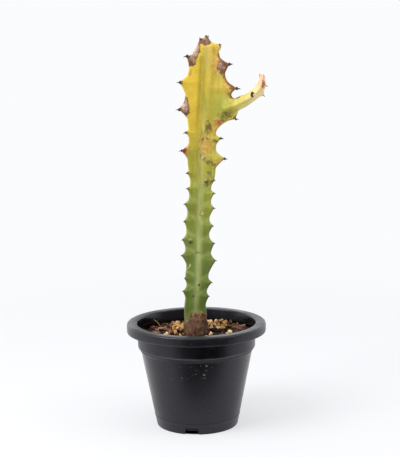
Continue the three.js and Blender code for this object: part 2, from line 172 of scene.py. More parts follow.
bpy.context.scene.view_settings.view_transform = "Standard"
world = bpy.data.worlds.new("studio")
bpy.context.scene.world = world
world.use_nodes = True
sky = world.node_tree
sky.nodes.clear()
generated = node(sky, "ShaderNodeTexCoord").outputs["Generated"]
right, away, upward = node(sky, "ShaderNodeSeparateXYZ", {0: generated}).outputs
ahead = remap(sky, away, -0.8, 0.3, FRONT_LIGHT, BACK_LIGHT)
aside = maths(sky, "POWER", maths(sky, "ABSOLUTE", right), 2.5)
aside = maths(sky, "MULTIPLY", aside, remap(sky, away, -0.4, 0.1))
low = maths(sky, "MULTIPLY", remap(sky, upward, 0.55, 0.3), remap(sky, away, 0.2, 0.7))
room = maths(sky, "MULTIPLY_ADD", low, SWEEP_LIGHT, ahead)
room = maths(sky, "MULTIPLY_ADD", aside, SIDE_LIGHT, room)
seen = node(sky, "ShaderNodeBackground", {"Color": BACKGROUND})
felt = node(sky, "ShaderNodeBackground", {"Color": BACKGROUND, "Strength": room})
to_camera = node(sky, "ShaderNodeLightPath").outputs["Is Camera Ray"]
both = node(sky, "ShaderNodeMixShader", {0: to_camera, 1: felt.outputs[0], 2: seen.outputs[0]})
node(sky, "ShaderNodeOutputWorld", {"Surface": both.outputs[0]})
print("the room behind the camera gives", FRONT_LIGHT, "of full light")

# %% [markdown]
# ## Soft boxes and the floor
#
# Two soft boxes stand at the sides and a third hangs over the plant. The left one is stronger, so the faint
# shadow falls to the right of the pot. The floor is matt and pale. It gives light of its own as well, which
# thins the shadow, and it fades into the white of the sweep with distance. In the picture the paper ends
# just in front of the pot, and the pot mirrors the dark beyond. A glossy ray therefore finds the floor dark
# in a wedge ahead of the pot. The paper under the pot is dark too, since it gives no light there.

# %% Soft boxes
def soft_box(name, place, size, power):
    data = bpy.data.lights.new(name, "AREA")
    data.shape = "RECTANGLE"
    data.size, data.size_y = size
    data.energy = power
    box = bpy.data.objects.new(name, data)
    toward = Vector((0, 0, 0.2)) - Vector(place)
    box.matrix_world = Matrix.Translation(place) @ toward.to_track_quat("-Z", "Y").to_matrix().to_4x4()
    box.visible_camera = False
    bpy.context.scene.collection.objects.link(box)


soft_box("soft_box_left", (-0.95, -0.6, 1.2), (0.9, 0.9), 19.0)
soft_box("soft_box_right", (1.1, -0.45, 1.15), (0.8, 0.8), 5.0)
soft_box("soft_box_above", (0.0, -0.4, 1.5), (1.2, 0.9), 6.0)
print("three soft boxes hung")

# %% Floor
FLOOR_RADIUS = 12.0
FADE_FROM = 0.2
FADE_TO = 0.9
OWN_LIGHT = 0.6
PAPER_END = 0.062
WEDGE_TURN_DEG = 12
POT_STANDS_ON = 0.038

paper, tree, shader = new_finish("pale_paper")
shader["Base Color"].default_value = hue(230, 230, 233)
shader["Roughness"].default_value = 0.9
shader["Specular IOR Level"].default_value = 0.1
place = node(tree, "ShaderNodeTexCoord").outputs["Object"]
out = node(tree, "ShaderNodeVectorMath", {0: place}, operation="LENGTH").outputs["Value"]
far = remap(tree, out, FADE_FROM, FADE_TO, OWN_LIGHT, 1.0)
matt = tree.nodes["Principled BSDF"].outputs[0]
glow = node(tree, "ShaderNodeEmission", {"Color": BACKGROUND}).outputs[0]
lit = node(tree, "ShaderNodeMixShader", {0: far, 1: matt, 2: glow}).outputs[0]

right, away, _ = node(tree, "ShaderNodeSeparateXYZ", {0: place}).outputs
beyond = remap(tree, away, -PAPER_END, -2.2 * PAPER_END)
turn = math.radians(WEDGE_TURN_DEG)
forward = maths(tree, "MULTIPLY", away, -math.cos(turn))
toward = maths(tree, "MULTIPLY_ADD", right, math.sin(turn), forward)
wedge = remap(tree, maths(tree, "DIVIDE", toward, out), 0.5, 0.9)
is_glossy = node(tree, "ShaderNodeLightPath").outputs["Is Glossy Ray"]
mirrored = maths(tree, "MULTIPLY", maths(tree, "MULTIPLY", beyond, wedge), is_glossy)
covered = remap(tree, out, POT_STANDS_ON - 0.003, POT_STANDS_ON, 1.0, 0.0)
unlit = maths(tree, "MAXIMUM", mirrored, covered)
dark = node(tree, "ShaderNodeEmission", {"Strength": 0.0}).outputs[0]
surface = node(tree, "ShaderNodeMixShader", {0: unlit, 1: lit, 2: dark}).outputs[0]
tree.links.new(surface, tree.nodes["Material Output"].inputs["Surface"])

disc = bmesh.new()
bmesh.ops.create_circle(disc, cap_ends=True, radius=FLOOR_RADIUS, segments=96)
floor_mesh = bpy.data.meshes.new("floor")
disc.to_mesh(floor_mesh)
disc.free()
floor_mesh.materials.append(paper)
floor = bpy.data.objects.new("floor", floor_mesh)
bpy.context.scene.collection.objects.link(floor)
print("the floor fades to white between", FADE_FROM, "and", FADE_TO, "m")

# %% [markdown]
# ## Effects that several finishes share
#
# Plastic, bark, pumice and skin all want some of the same things: a tint that isn't even, a fine relief,
# small specks, and patches whose borders are ragged instead of round. Each is a node group with named
# sockets, built once. Every finish then places the group with its own values.

# %% Group maker
def new_group(name, inputs, outputs):
    """An empty node group, with its inputs as sockets to read and its outputs as sockets to fill."""
    group = bpy.data.node_groups.new(name, "ShaderNodeTree")
    kinds = {"colour": "NodeSocketColor", "number": "NodeSocketFloat"}
    for label, kind, value in inputs:
        socket = group.interface.new_socket(label, in_out="INPUT", socket_type=kinds[kind])
        socket.default_value = value
    for label, kind in outputs:
        group.interface.new_socket(label, in_out="OUTPUT", socket_type=kinds[kind])
    return group, group.nodes.new("NodeGroupInput").outputs, group.nodes.new("NodeGroupOutput").inputs


def stretched(tree, stretch=None):
    """Coordinates on the object, in metres, that run slower along Z where the grain is long."""
    place = node(tree, "ShaderNodeTexCoord").outputs["Object"]
    if stretch is None:
        return place
    ways = node(tree, "ShaderNodeSeparateXYZ", {0: place}).outputs
    upward = maths(tree, "DIVIDE", ways[2], stretch)
    return node(tree, "ShaderNodeCombineXYZ", {0: ways[0], 1: ways[1], 2: upward}).outputs[0]


def cloud(tree, place, size, detail=3.0):
    """Soft noise about 0.5. Size is how many lumps fit in a metre."""
    return node(tree, "ShaderNodeTexNoise", {"Vector": place, "Scale": size, "Detail": detail}).outputs[0]


print("group maker ready")

# %% Uneven tint
tint_group, given, result = new_group(
    "Uneven tint",
    [("Colour", "colour", (0.5, 0.5, 0.5, 1)), ("Strength", "number", 0.2),
     ("Lumps per metre", "number", 200.0)],
    [("Colour", "colour")],
)
shade = cloud(tint_group, stretched(tint_group), given["Lumps per metre"], 4.0)
swing = maths(tint_group, "SUBTRACT", shade, 0.5)
light = maths(tint_group, "MULTIPLY_ADD", swing, maths(tint_group, "MULTIPLY", given["Strength"], 2.4), 1.0)
turn = maths(tint_group, "MULTIPLY_ADD", swing, maths(tint_group, "MULTIPLY", given["Strength"], 0.12), 0.5)
sockets = {"Hue": turn, "Value": light, "Color": given["Colour"]}
shifted = node(tint_group, "ShaderNodeHueSaturation", sockets)
tint_group.links.new(shifted.outputs[0], result["Colour"])
print("group:", tint_group.name)

# %% Fine relief
relief_group, given, result = new_group(
    "Fine relief",
    [("Lumps per metre", "number", 800.0), ("Stretch along Z", "number", 1.0)],
    [("Height", "number")],
)
long_way = stretched(relief_group, given["Stretch along Z"])
coarse = cloud(relief_group, long_way, given["Lumps per metre"], 5.0)
relief_group.links.new(coarse, result["Height"])
print("group:", relief_group.name)

# %% Specks
speck_group, given, result = new_group(
    "Specks",
    [("Cells per metre", "number", 500.0), ("Share of cells", "number", 0.1), ("Width", "number", 0.3)],
    [("Mask", "number")],
)
cells = node(speck_group, "ShaderNodeTexVoronoi",
             {"Vector": stretched(speck_group), "Scale": given["Cells per metre"]})
lot = node(speck_group, "ShaderNodeSeparateColor", {0: cells.outputs["Color"]}).outputs[0]
chosen = maths(speck_group, "LESS_THAN", lot, given["Share of cells"])
near = maths(speck_group, "LESS_THAN", cells.outputs["Distance"], given["Width"])
speck_group.links.new(maths(speck_group, "MULTIPLY", chosen, near), result["Mask"])
print("group:", speck_group.name)

# %% Ragged patch
patch_group, given, result = new_group(
    "Ragged patch",
    [("Mask", "number", 0.0), ("Raggedness", "number", 1.0), ("Lumps per metre", "number", 500.0),
     ("Softness", "number", 0.1)],
    [("Patch", "number"), ("Rim", "number")],
)
lumps = cloud(patch_group, stretched(patch_group), given["Lumps per metre"], 5.0)
wander = maths(patch_group, "MULTIPLY", maths(patch_group, "SUBTRACT", lumps, 0.5), given["Raggedness"])
near = maths(patch_group, "MINIMUM", maths(patch_group, "MULTIPLY", given["Mask"], 6.0), 1.0)
edge = maths(patch_group, "MULTIPLY_ADD", wander, near, given["Mask"])
soft_end = maths(patch_group, "ADD", given["Softness"], 0.3)
patch = remap(patch_group, edge, 0.3, soft_end)
heart = remap(patch_group, edge, soft_end, maths(patch_group, "ADD", soft_end, 0.25))
patch_group.links.new(patch, result["Patch"])
patch_group.links.new(maths(patch_group, "SUBTRACT", patch, heart), result["Rim"])
print("group:", patch_group.name)

# %% Placing the effects
def placed(tree, group, values):
    """The outputs of a shared effect, placed with its own values."""
    return node(tree, "ShaderNodeGroup", values, node_tree=group).outputs


def tinted(tree, colour, strength, lumps):
    values = {"Colour": colour, "Strength": strength, "Lumps per metre": lumps}
    return placed(tree, tint_group, values)["Colour"]


def relief(tree, lumps, stretch=1.0):
    values = {"Lumps per metre": lumps, "Stretch along Z": stretch}
    return placed(tree, relief_group, values)["Height"]


def specks(tree, cells, share, width):
    values = {"Cells per metre": cells, "Share of cells": share, "Width": width}
    return placed(tree, speck_group, values)["Mask"]


def ragged(tree, name, raggedness, lumps, softness=0.1):
    """The patch of a mask and its rim."""
    values = {"Mask": mask(tree, name), "Raggedness": raggedness, "Softness": softness}
    return placed(tree, patch_group, {**values, "Lumps per metre": lumps})


def masked(tree, name, strength, colour, second):
    """A second colour over the first where the mesh's mask is, at a strength."""
    return mixed(tree, maths(tree, "MULTIPLY", mask(tree, name), strength), colour, second)


print("four effects ready to be placed")

# %% [markdown]
# ## Helpers for meshes
#
# Almost every piece here is a stack of rings: the pot is turned on a lathe, the stem is a loft and a spine
# is a cone. One helper closes such a stack, and one turns points and faces into an object. Random draws
# come from one small recurrence, the same one that placed the solids, so chips and grains lie where the
# frame has them.

# %% Mesh helpers
def smooth(value, low, high):
    share = np.clip((value - low) / (high - low), 0, 1)
    return share * share * (3 - 2 * share)


def seeded(seed):
    """Draws between 0 and 1 that are the same in each run."""
    state = seed
    while True:
        state = (state * 1664525 + 1013904223) % 2**32
        yield state / 2**32


def tube(rings):
    """Points and faces of a closed skin round a stack of rings, given as an array [ring, point, 3]."""
    count, sides, _ = rings.shape
    points = np.vstack([rings.reshape(-1, 3), rings[0].mean(0), rings[-1].mean(0)])
    foot, top, last = count * sides, count * sides + 1, (count - 1) * sides
    faces = []
    for side in range(sides):
        after = (side + 1) % sides
        for low in range(0, last, sides):
            faces.append((low + side, low + after, low + sides + after, low + sides + side))
        faces.append((foot, after, side))
        faces.append((top, last + side, last + after))
    return points, faces


def turned(profile, sides):
    """Rings of a turned body from its profile of (radius, height), without the points on the axis."""
    turn = np.linspace(0, 2 * np.pi, sides, endpoint=False)
    radius, height = np.array(profile, float).T
    across = radius[:, None] * np.stack([np.cos(turn), np.sin(turn)])[:, None, :]
    return np.stack([across[0], across[1], np.repeat(height[:, None], sides, 1)], axis=2)


def gathered(bodies):
    """One list of points and faces from several bodies."""
    points, faces, start = [], [], 0
    for body_points, body_faces in bodies:
        points.append(body_points)
        faces.extend(tuple(start + corner for corner in face) for face in body_faces)
        start += len(body_points)
    return np.vstack(points), faces


def make_piece(name, points, faces):
    mesh = bpy.data.meshes.new(name)
    mesh.from_pydata((np.asarray(points) * MM).tolist(), [], faces)
    mesh.polygons.foreach_set("use_smooth", [True] * len(mesh.polygons))
    mesh.update()
    piece = bpy.data.objects.new(name, mesh)
    bpy.context.scene.collection.objects.link(piece)
    return piece


def dressed(piece, material, slot, *nodes):
    """Gives a piece its finish and its body, and says which plain solids it stands for. The slot is not
    used.
    """
    piece.data.materials.clear()
    piece.data.materials.append(material)
    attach(piece, "root")
    if nodes:
        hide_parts(*nodes)
    piece.data.calc_loop_triangles()
    print(f"{piece.name}: {len(piece.data.loop_triangles)} triangles")


def combined(piece, other, operation):
    """Joins another body to a piece, or cuts it away, and drops the other body."""
    modifier = piece.modifiers.new("combine", "BOOLEAN")
    modifier.operation = operation
    modifier.solver = "EXACT"
    modifier.object = other
    whole = bpy.data.meshes.new_from_object(piece.evaluated_get(bpy.context.evaluated_depsgraph_get()))
    piece.modifiers.remove(modifier)
    piece.data = whole
    bpy.data.objects.remove(other)


def set_mask(piece, name, values):
    """Stores a value at each point of the mesh, for the finish to read."""
    layer = piece.data.attributes.new(name, "FLOAT", "POINT")
    layer.data.foreach_set("value", np.asarray(values, np.float32))


def toned_piece(name, bodies, tones):
    """One piece from several bodies, each with its own tone from 0, dark, to 1, light."""
    piece = make_piece(name, *gathered(bodies))
    set_mask(piece, "tone", np.repeat(tones, [len(body_points) for body_points, _ in bodies]))
    return piece


print("mesh helpers ready")

# %% [markdown]
# ## The pot
#
# A nursery pot is injection moulded in black polypropylene. It has a broad flat rim with a skirt, a stepped
# band under it, a tapered wall, a fine ring near the foot, and notches and holes for water. All but the
# notches and holes is turned, so a profile on a lathe gives it, and one cut makes the openings. No moulded
# edge is sharp: each corner of the profile is rounded by its own small radius, which is what catches light.

# %% Pot sizes
POT_HEIGHT = 97.2
RIM_RADIUS = 65
RIM_INNER_RADIUS = 55.6
RIM_SKIRT = 8.3
BAND_RADIUS = 55.4
BAND_LOW_RADIUS = 54.9
BAND_HEIGHT = 74.8
WALL_TOP_RADIUS = 52.1
WALL_TOP_HEIGHT = 70.8
FOOT_RADIUS = 38.1
FOOT_WIDTH = 3
FLOOR_CLEARANCE = 2
WALL = 1.5
RING_HEIGHT = 9.5
RING_PROUD = 0.35
NOTCH_WIDTH = 12.4
NOTCH_HEIGHT = 5.9
NOTCH_COUNT = 3
FIRST_NOTCH_DEG = -97.8
DRAIN_RADIUS = 4
DRAIN_COUNT = 4
DRAIN_CIRCLE = 21
POT_SIDES = 180


def wall_radius(height):
    return FOOT_RADIUS + (WALL_TOP_RADIUS - FOOT_RADIUS) * height / WALL_TOP_HEIGHT


def rounded(corners, steps=5):
    """A profile of (radius, height, rounding) with a curve in place of each corner that is rounded."""
    line = [Vector(corners[0][:2])]
    for before, here, after in zip(corners, corners[1:], corners[2:]):
        corner = Vector(here[:2])
        back, on = Vector(before[:2]) - corner, Vector(after[:2]) - corner
        reach = min(here[2], 0.48 * back.length, 0.48 * on.length)
        start, end = corner + back.normalized() * reach, corner + on.normalized() * reach
        for step in range(steps + 1 if reach else 1):
            share = step / steps
            line.append(start.lerp(corner, share).lerp(corner.lerp(end, share), share))
    line.append(Vector(corners[-1][:2]))
    return line


print("wall radius at mid height:", round(wall_radius(WALL_TOP_HEIGHT / 2), 1), "mm")

# %% Pot body
rim_under = POT_HEIGHT - WALL - 0.2
skirt_foot = POT_HEIGHT - RIM_SKIRT
floor_top = FLOOR_CLEARANCE + WALL + 0.1
pot_profile = rounded([
    (1, FLOOR_CLEARANCE, 0),
    (FOOT_RADIUS - FOOT_WIDTH - 0.6, FLOOR_CLEARANCE, 0.4),
    (FOOT_RADIUS - FOOT_WIDTH, 0, 0.3),
    (FOOT_RADIUS, 0, 0.25),
    (wall_radius(RING_HEIGHT - 1.3), RING_HEIGHT - 1.3, 0.7),
    (wall_radius(RING_HEIGHT) + RING_PROUD, RING_HEIGHT, 0.6),
    (wall_radius(RING_HEIGHT + 1.3), RING_HEIGHT + 1.3, 0.7),
    (WALL_TOP_RADIUS, WALL_TOP_HEIGHT, 0.8),
    (BAND_LOW_RADIUS, BAND_HEIGHT, 1.0),
    (BAND_LOW_RADIUS + 0.05, BAND_HEIGHT + 1.9, 0),
    (BAND_RADIUS, skirt_foot, 1.0),
    (RIM_INNER_RADIUS + WALL, rim_under, 1.6),
    (RIM_RADIUS - WALL, rim_under, 1.2),
    (RIM_RADIUS - WALL, skirt_foot, 0.5),
    (RIM_RADIUS - 0.1, skirt_foot, 0.7),
    (RIM_RADIUS - 0.06, skirt_foot + 1.9, 0),
    (RIM_RADIUS, POT_HEIGHT, 2.2),
    (RIM_INNER_RADIUS, POT_HEIGHT, 1.1),
    (BAND_RADIUS - WALL, skirt_foot - 1.5, 1.5),
    (BAND_LOW_RADIUS - WALL, BAND_HEIGHT + 1.5, 1.0),
    (WALL_TOP_RADIUS - WALL, WALL_TOP_HEIGHT + 0.5, 1.0),
    (wall_radius(floor_top) - WALL, floor_top, 1.5),
    (1, floor_top, 0),
])
pot = make_piece("pot_shell", *tube(turned(pot_profile, POT_SIDES)))
print("the pot's profile has", len(pot_profile), "points")

# %% Water notches and drain holes
def notch_cutter(turn):
    """A block with sloping sides that cuts one notch through the foot ring, at a turn round the pot."""
    wide, narrow = NOTCH_WIDTH / 2 + 0.4, NOTCH_WIDTH / 2 - 0.5
    outline = np.array([(-wide, -1), (wide, -1), (narrow, NOTCH_HEIGHT), (-narrow, NOTCH_HEIGHT)])
    near, far = FOOT_RADIUS - 5.0, FOOT_RADIUS + 3.0
    rings = np.array([[(depth, across, height) for across, height in outline] for depth in (near, far)])
    cos, sin = math.cos(turn), math.sin(turn)
    points, faces = tube(rings)
    return points @ np.array([(cos, sin, 0), (-sin, cos, 0), (0, 0, 1)]), faces


def drain_cutter(number):
    """A round hole through the floor. The last one is in the centre."""
    out = 0 if number == DRAIN_COUNT else DRAIN_CIRCLE
    turn = 2 * math.pi * number / DRAIN_COUNT
    rings = turned([(DRAIN_RADIUS, -1), (DRAIN_RADIUS, floor_top + 2)], 40)
    return tube(rings + [out * math.cos(turn), out * math.sin(turn), 0])


turns = [math.radians(FIRST_NOTCH_DEG + 360 * i / NOTCH_COUNT) for i in range(NOTCH_COUNT)]
cutters = [notch_cutter(turn) for turn in turns] + [drain_cutter(i) for i in range(DRAIN_COUNT + 1)]
combined(pot, make_piece("cutters", *gathered(cutters)), "DIFFERENCE")
pot.data.set_sharp_from_angle(angle=math.radians(38))
print(len(cutters), "openings cut")

# %% [markdown]
# ## Black plastic
#
# Moulded polypropylene is satin, not glossy, and a little cloudy where hands and water have been. On
# this one a painted highlight runs as a fine grey line along the step, the rim's top and skirt carry
# painted sheen in lighter grey, and the rim's top is rougher towards its left. The tint is nearly black,
# and its sheen has a blue cast. The roughness wanders, which breaks up the sheen, and a very fine relief
# stands for the grain of the mould. Inside, the wall is painted darker as shade, and smoother at its left
# and right ends.

# %% Plastic finish
plastic, tree, shader = new_finish("black_plastic")
cloudy = cloud(tree, stretched(tree), 55.0, 5.0)
black = mixed(tree, remap(tree, cloudy, 0.35, 0.75), hue(11, 11, 15), hue(19, 19, 24))
# painted sheen: this mask lightens the black to grey on the step, the rim's top and the skirt
painted_sheen = maths(tree, "MULTIPLY", mask(tree, "painted_sheen"), remap(tree, cloudy, 0.3, 0.6, 0.15, 0.5))
black = mixed(tree, painted_sheen, black, hue(92, 92, 98))
# painted shade: the inside wall is made darker still
black = masked(tree, "inside", 0.85, black, hue(4, 4, 5))
dust = specks(tree, 900.0, 0.02, 0.35)
black = mixed(tree, maths(tree, "MULTIPLY", dust, 0.25), black, hue(132, 132, 138))
tree.links.new(black, shader["Base Color"])
satin = remap(tree, cloudy, 0.3, 0.8, 0.29, 0.42)
tree.links.new(maths(tree, "ADD", mask(tree, "dull"), satin), shader["Roughness"])
shader["Specular IOR Level"].default_value = 0.5
shader["Specular Tint"].default_value = (0.88, 0.88, 1.0, 1.0)
bump(tree, shader, relief(tree, 1500.0), 0.00005)
print("finish:", plastic.name)

# %% Where the pot gets painted sheen and painted shade, and where it is dull
right, away, height = (np.array([v.co for v in pot.data.vertices]) / MM).T
out = np.hypot(right, away)
# painted highlight: a fine light line along the step at the foot of the band
step = 1.3 * np.exp(-(((height - BAND_HEIGHT - 0.15) / 0.5) ** 2)) * (out > WALL_TOP_RADIUS + 0.4)
rim_top = height > POT_HEIGHT - 0.4
# painted highlight on the rim's top: lighter towards the right and at the far left end
rim_top_highlight = 0.02 + 0.11 * smooth(right, -40, -10) + 0.26 * smooth(right, 5, 50) + 0.34 * smooth(-right, 54, 60)
# painted sheen over the skirt, with a painted highlight line along its lower edge
skirt_sheen = (out > RIM_RADIUS - 1) * (0.06 + 0.4 * np.exp(-(((height - skirt_foot - 0.5) / 0.5) ** 2)))
set_mask(pot, "painted_sheen", np.maximum(np.maximum(step, rim_top * rim_top_highlight), skirt_sheen))

inner_heights = [BAND_HEIGHT, skirt_foot - 1.5, POT_HEIGHT]
inner_radii = [BAND_LOW_RADIUS - WALL, BAND_RADIUS - WALL, RIM_INNER_RADIUS]
inner = np.interp(height, inner_heights, inner_radii)
# the inside of the wall, which the finish paints darker as shade and makes smoother at its ends
inside = (out < inner + 0.4) & (height > BAND_HEIGHT - 5) & (height < POT_HEIGHT - 0.6)
set_mask(pot, "inside", inside)

ledge = smooth(height, WALL_TOP_HEIGHT - 0.5, WALL_TOP_HEIGHT + 0.5) * (height < BAND_HEIGHT + 0.2)
matt = rim_top * (0.03 + 0.12 * smooth(-right, 28, 42) * (1 - smooth(-right, 54, 60)))
smoother = inside * (0.18 * smooth(-right, 16, 36) + 0.12 * smooth(right, 22, 42))
set_mask(pot, "dull", 0.25 * ledge * (out > WALL_TOP_RADIUS - 0.5) + matt - smoother)
dressed(pot, plastic, "pot_plastic", "pot")

# %% [markdown]
# ## Lumps and flakes
#
# Bark chips, crumbs of peat and grains of pumice are all small broken lumps. Each is a template that is
# squeezed, skewed and pushed about by noise: a rounded box for a flake, a ball of triangles for a grain.
# Particles could scatter them faster, but real meshes keep their places.

# %% Lump templates
def template(make, **settings):
    """Points and faces of a small closed body that bmesh makes."""
    body = bmesh.new()
    getattr(bmesh.ops, make)(body, **settings)
    if make == "create_cube":
        bmesh.ops.subdivide_edges(body, edges=body.edges, cuts=3, use_grid_fill=True)
    points = np.array([v.co for v in body.verts])
    faces = [tuple(v.index for v in face.verts) for face in body.faces]
    body.free()
    return points, faces


BALL = template("create_icosphere", subdivisions=3, radius=1.0)
PEA = template("create_icosphere", subdivisions=2, radius=1.0)
CRUMB = template("create_icosphere", subdivisions=1, radius=1.0)
BLOCK = template("create_cube", size=2.0)


def noisy(points, strength, size, seed):
    """Pushes each point along its own direction by noise."""
    shift = Vector((seed * 7.31, seed * 3.17, seed * 5.73))
    push = [1 + strength * noise.noise(Vector(point) * size + shift) for point in points]
    return points * np.array(push)[:, None]


def turned_about(points, turns):
    return points @ np.array(Euler(turns, "XYZ").to_matrix()).T


FLAKE_ROUNDING = 0.22


def flake(size, turns, place, seed):
    """A broken chip of bark: a rounded, skewed block with a rough surface."""
    points, faces = BLOCK
    ball = points / np.linalg.norm(points, axis=1)[:, None] * 1.25
    shape = points * (1 - FLAKE_ROUNDING) + ball * FLAKE_ROUNDING
    skew = 1 - 0.24 * np.clip(shape[:, :1] * shape[:, 1:2], 0, 1)
    shape = np.hstack([shape[:, :2] * skew, shape[:, 2:]])
    shape = noisy(shape, 0.3, 1.1, seed) * np.array(size) / 2
    return turned_about(shape, turns) + place, faces


def lump(model, size, turns, place, seed, rough=0.55):
    points, faces = model
    return turned_about(noisy(points, rough, 1.3, seed) * size, turns) + place, faces


def any_turns(draw):
    return [3 * draw() for _ in range(3)]


def any_place(draw, least, span):
    """A place on the mix: its distance from the axis, along X and along Y."""
    out, turn = least + span * math.sqrt(draw()), 2 * math.pi * draw()
    return out, out * math.cos(turn), out * math.sin(turn)


print("templates:", len(BALL[0]), "points in a grain and", len(BLOCK[0]), "in a flake")

# %% [markdown]
# ## Hard water
#
# Drops of hard water dried on the front of the pot and left chalky crusts. They could be a pattern in the
# shader. As thin crusts of real form each one can lie where it shows in the picture, and a seed adds fine
# ones.

# %% Chalk crusts
# place along X, height, half width, half height, thickness of the chalk from 0 to 1
CRUSTS = [
    (3.9, 68.4, 0.9, 0.6, 0.6), (8.8, 68.3, 1.4, 0.9, 1), (8.6, 64, 0.8, 1, 0.5), (-0.6, 64, 1, 0.6, 0.6),
    (-0.9, 60.5, 1.1, 0.6, 0.6), (-5.3, 67.6, 0.6, 0.6, 0.4), (-3.7, 59.8, 0.8, 0.5, 0.4),
    (-8, 56, 0.9, 0.4, 0.3), (6.7, 59.4, 1.5, 1, 1), (7.2, 56.2, 0.8, 1, 0.5), (-13.2, 56.4, 1.4, 0.6, 0.4),
    (-14.5, 66.8, 1.2, 0.5, 0.3), (2, 62.1, 0.5, 0.4, 0.4), (7, 44.7, 0.9, 0.6, 0.25),
    (9.3, 39.3, 0.8, 0.5, 0.2), (1.5, 37.6, 0.7, 0.4, 0.2), (10.6, 23.8, 0.7, 0.6, 0.5),
    (9.4, 30.4, 0.6, 0.4, 0.15), (8.6, 9.8, 1.3, 0.4, 0.45), (-20.5, 10.4, 0.9, 0.3, 0.35),
]
FINE_CRUSTS = 30
CRUST_PROUD = 0.12


def crust(x, z, wide, tall, seed):
    """A flat crust on the pot's front wall."""
    points, faces = PEA
    shape = noisy(points, 0.8, 1.6, seed) * [0.85 * wide, CRUST_PROUD, 0.85 * tall]
    radius = wall_radius(z)
    turn = math.asin(x / radius)
    slope = math.atan((WALL_TOP_RADIUS - FOOT_RADIUS) / WALL_TOP_HEIGHT)
    shape = turned_about(shape, (slope, 0, turn))
    return shape + [x, -radius * math.cos(turn), z], faces


def crusts():
    bodies = [crust(*row[:4], number) for number, row in enumerate(CRUSTS)]
    thickness = [row[4] for row in CRUSTS]
    draw = seeded(29).__next__
    for number in range(FINE_CRUSTS):
        x, z = -4 + 34 * (draw() - 0.5), 22 + 46 * draw() ** 0.7
        size = 0.15 + 0.3 * draw() ** 2
        bodies.append(crust(x, z, size * 1.3, size, number + 50))
        thickness.append(0.3 * draw() * float(smooth(z, 20, 60)))
    return bodies, thickness


chalk, tree, shader = new_finish("dried_chalk")
thin_to_thick = [(0.0, hue(30, 30, 34)), (0.5, hue(66, 66, 70)), (1.0, hue(98, 98, 102))]
grey = tinted(tree, ramp(tree, mask(tree, "tone"), thin_to_thick), 0.5, 1600.0)
tree.links.new(grey, shader["Base Color"])
shader["Roughness"].default_value = 0.9
bump(tree, shader, relief(tree, 2600.0), 0.0001)
dressed(toned_piece("chalk_crusts", *crusts()), chalk, "pot_plastic")

# %% [markdown]
# ## The potting mix
#
# The mix is peat and composted bark, filled to 12 mm under the rim and mounded at the stem. Its body is
# turned as well, with many rings across the top. Their points are lifted by the same soft formula as in the
# plain solid and then roughened with noise. Loose matter lies on it as real pieces, described further on.

# %% Mix body
MIX_HEIGHT = 85.2
MOUND_HEIGHT = 2.6
MOUND_SPREAD = 24
HOLE_RADIUS = 12.8
HOLE_FLOOR = 57.5
GAP = 0.35
MIX_SIDES = 240
MIX_TOP_RINGS = 60


def mix_top(x, y):
    """Height of the mix's top: a mound at the stem, lower on the left, with shallow lumps."""
    mound = MOUND_HEIGHT * np.exp(-((np.hypot(x, y) / MOUND_SPREAD) ** 2))
    lumps = np.sin(x * 0.31 + 1) * np.cos(y * 0.27) + 0.6 * np.sin(x * 0.17 - y * 0.41)
    return MIX_HEIGHT + mound + 0.022 * x + 0.012 * y + 0.55 * lumps


def crumbly(x, y):
    """Fine height of the mix's top above its soft formula."""
    at = Vector((x, y, 0))
    return 0.9 * noise.noise(at * 0.35) + 0.6 * noise.noise(at * 0.9) + 0.35 * noise.noise(at * 2.1)


brim = BAND_LOW_RADIUS - WALL - 0.1
hole_edge = HOLE_RADIUS - 2.4
foot = FLOOR_CLEARANCE + WALL + 0.5
below = [
    (1, foot),
    (wall_radius(0) - WALL - GAP - 0.5, foot),
    (wall_radius(6) - WALL - GAP, 6),
    (wall_radius(WALL_TOP_HEIGHT) - WALL - GAP - 0.1, WALL_TOP_HEIGHT + 0.3),
    (brim - 0.3, BAND_HEIGHT + 2.5),
]
across = [(radius, MIX_HEIGHT) for radius in np.linspace(brim, hole_edge, MIX_TOP_RINGS)]
hole = [(hole_edge, HOLE_FLOOR), (1, HOLE_FLOOR)]
rings = turned(below + across + hole, MIX_SIDES)
top_rings = rings[len(below):-len(hole)]
for ring in top_rings:
    ring[:, 2] = mix_top(ring[:, 0], ring[:, 1]) + [crumbly(x, y) for x, y in ring[:, :2]]
mix_body = make_piece("mix_bed", *tube(rings))
print("the mix reaches", round(float(top_rings[:, :, 2].max()), 1), "mm")

# %% Mix finish
peat, tree, shader = new_finish("peat_and_bark")
patchy = cloud(tree, stretched(tree), 260.0, 6.0)
soil = ramp(tree, patchy, [
    (0.3, hue(9, 7, 6)), (0.5, hue(24, 17, 13)), (0.66, hue(48, 34, 26)), (0.8, hue(86, 64, 48)),
])
soil = mixed(tree, specks(tree, 900.0, 0.05, 0.4), soil, hue(150, 118, 84))
tree.links.new(soil, shader["Base Color"])
shader["Roughness"].default_value = 0.95
shader["Specular IOR Level"].default_value = 0.2
bump(tree, shader, relief(tree, 900.0), 0.0009)
dressed(mix_body, peat, "potting_mix", "potting_mix")

# %% [markdown]
# ## Where the pumice lies
#
# Two heaps of tan pumice lie on the mix, one to the left of the stem and one behind it on the right. Each
# heap is an oval, turned a little. Its grains grow outward from the centre, each touching an earlier one,
# and the walk is drawn with the heap's own seed.

# %% Heaps of grit
GRAIN_RADIUS = 2.5
GRAIN_TRIES = 4000
SMALL_GRAINS = 24
LEFT_DRIFT = {"x": -21, "y": 9, "a": 10, "b": 25, "turn": 6, "heap": 2.6, "grains": 32, "seed": 5}
RIGHT_DRIFT = {"x": 19, "y": 19, "a": 10, "b": 19, "turn": -24, "heap": 2.8, "grains": 32, "seed": 23}
PEBBLE = {"x": 31.3, "y": -2, "radius": 2.6}
BARK_OVER_GRIT = -22.5


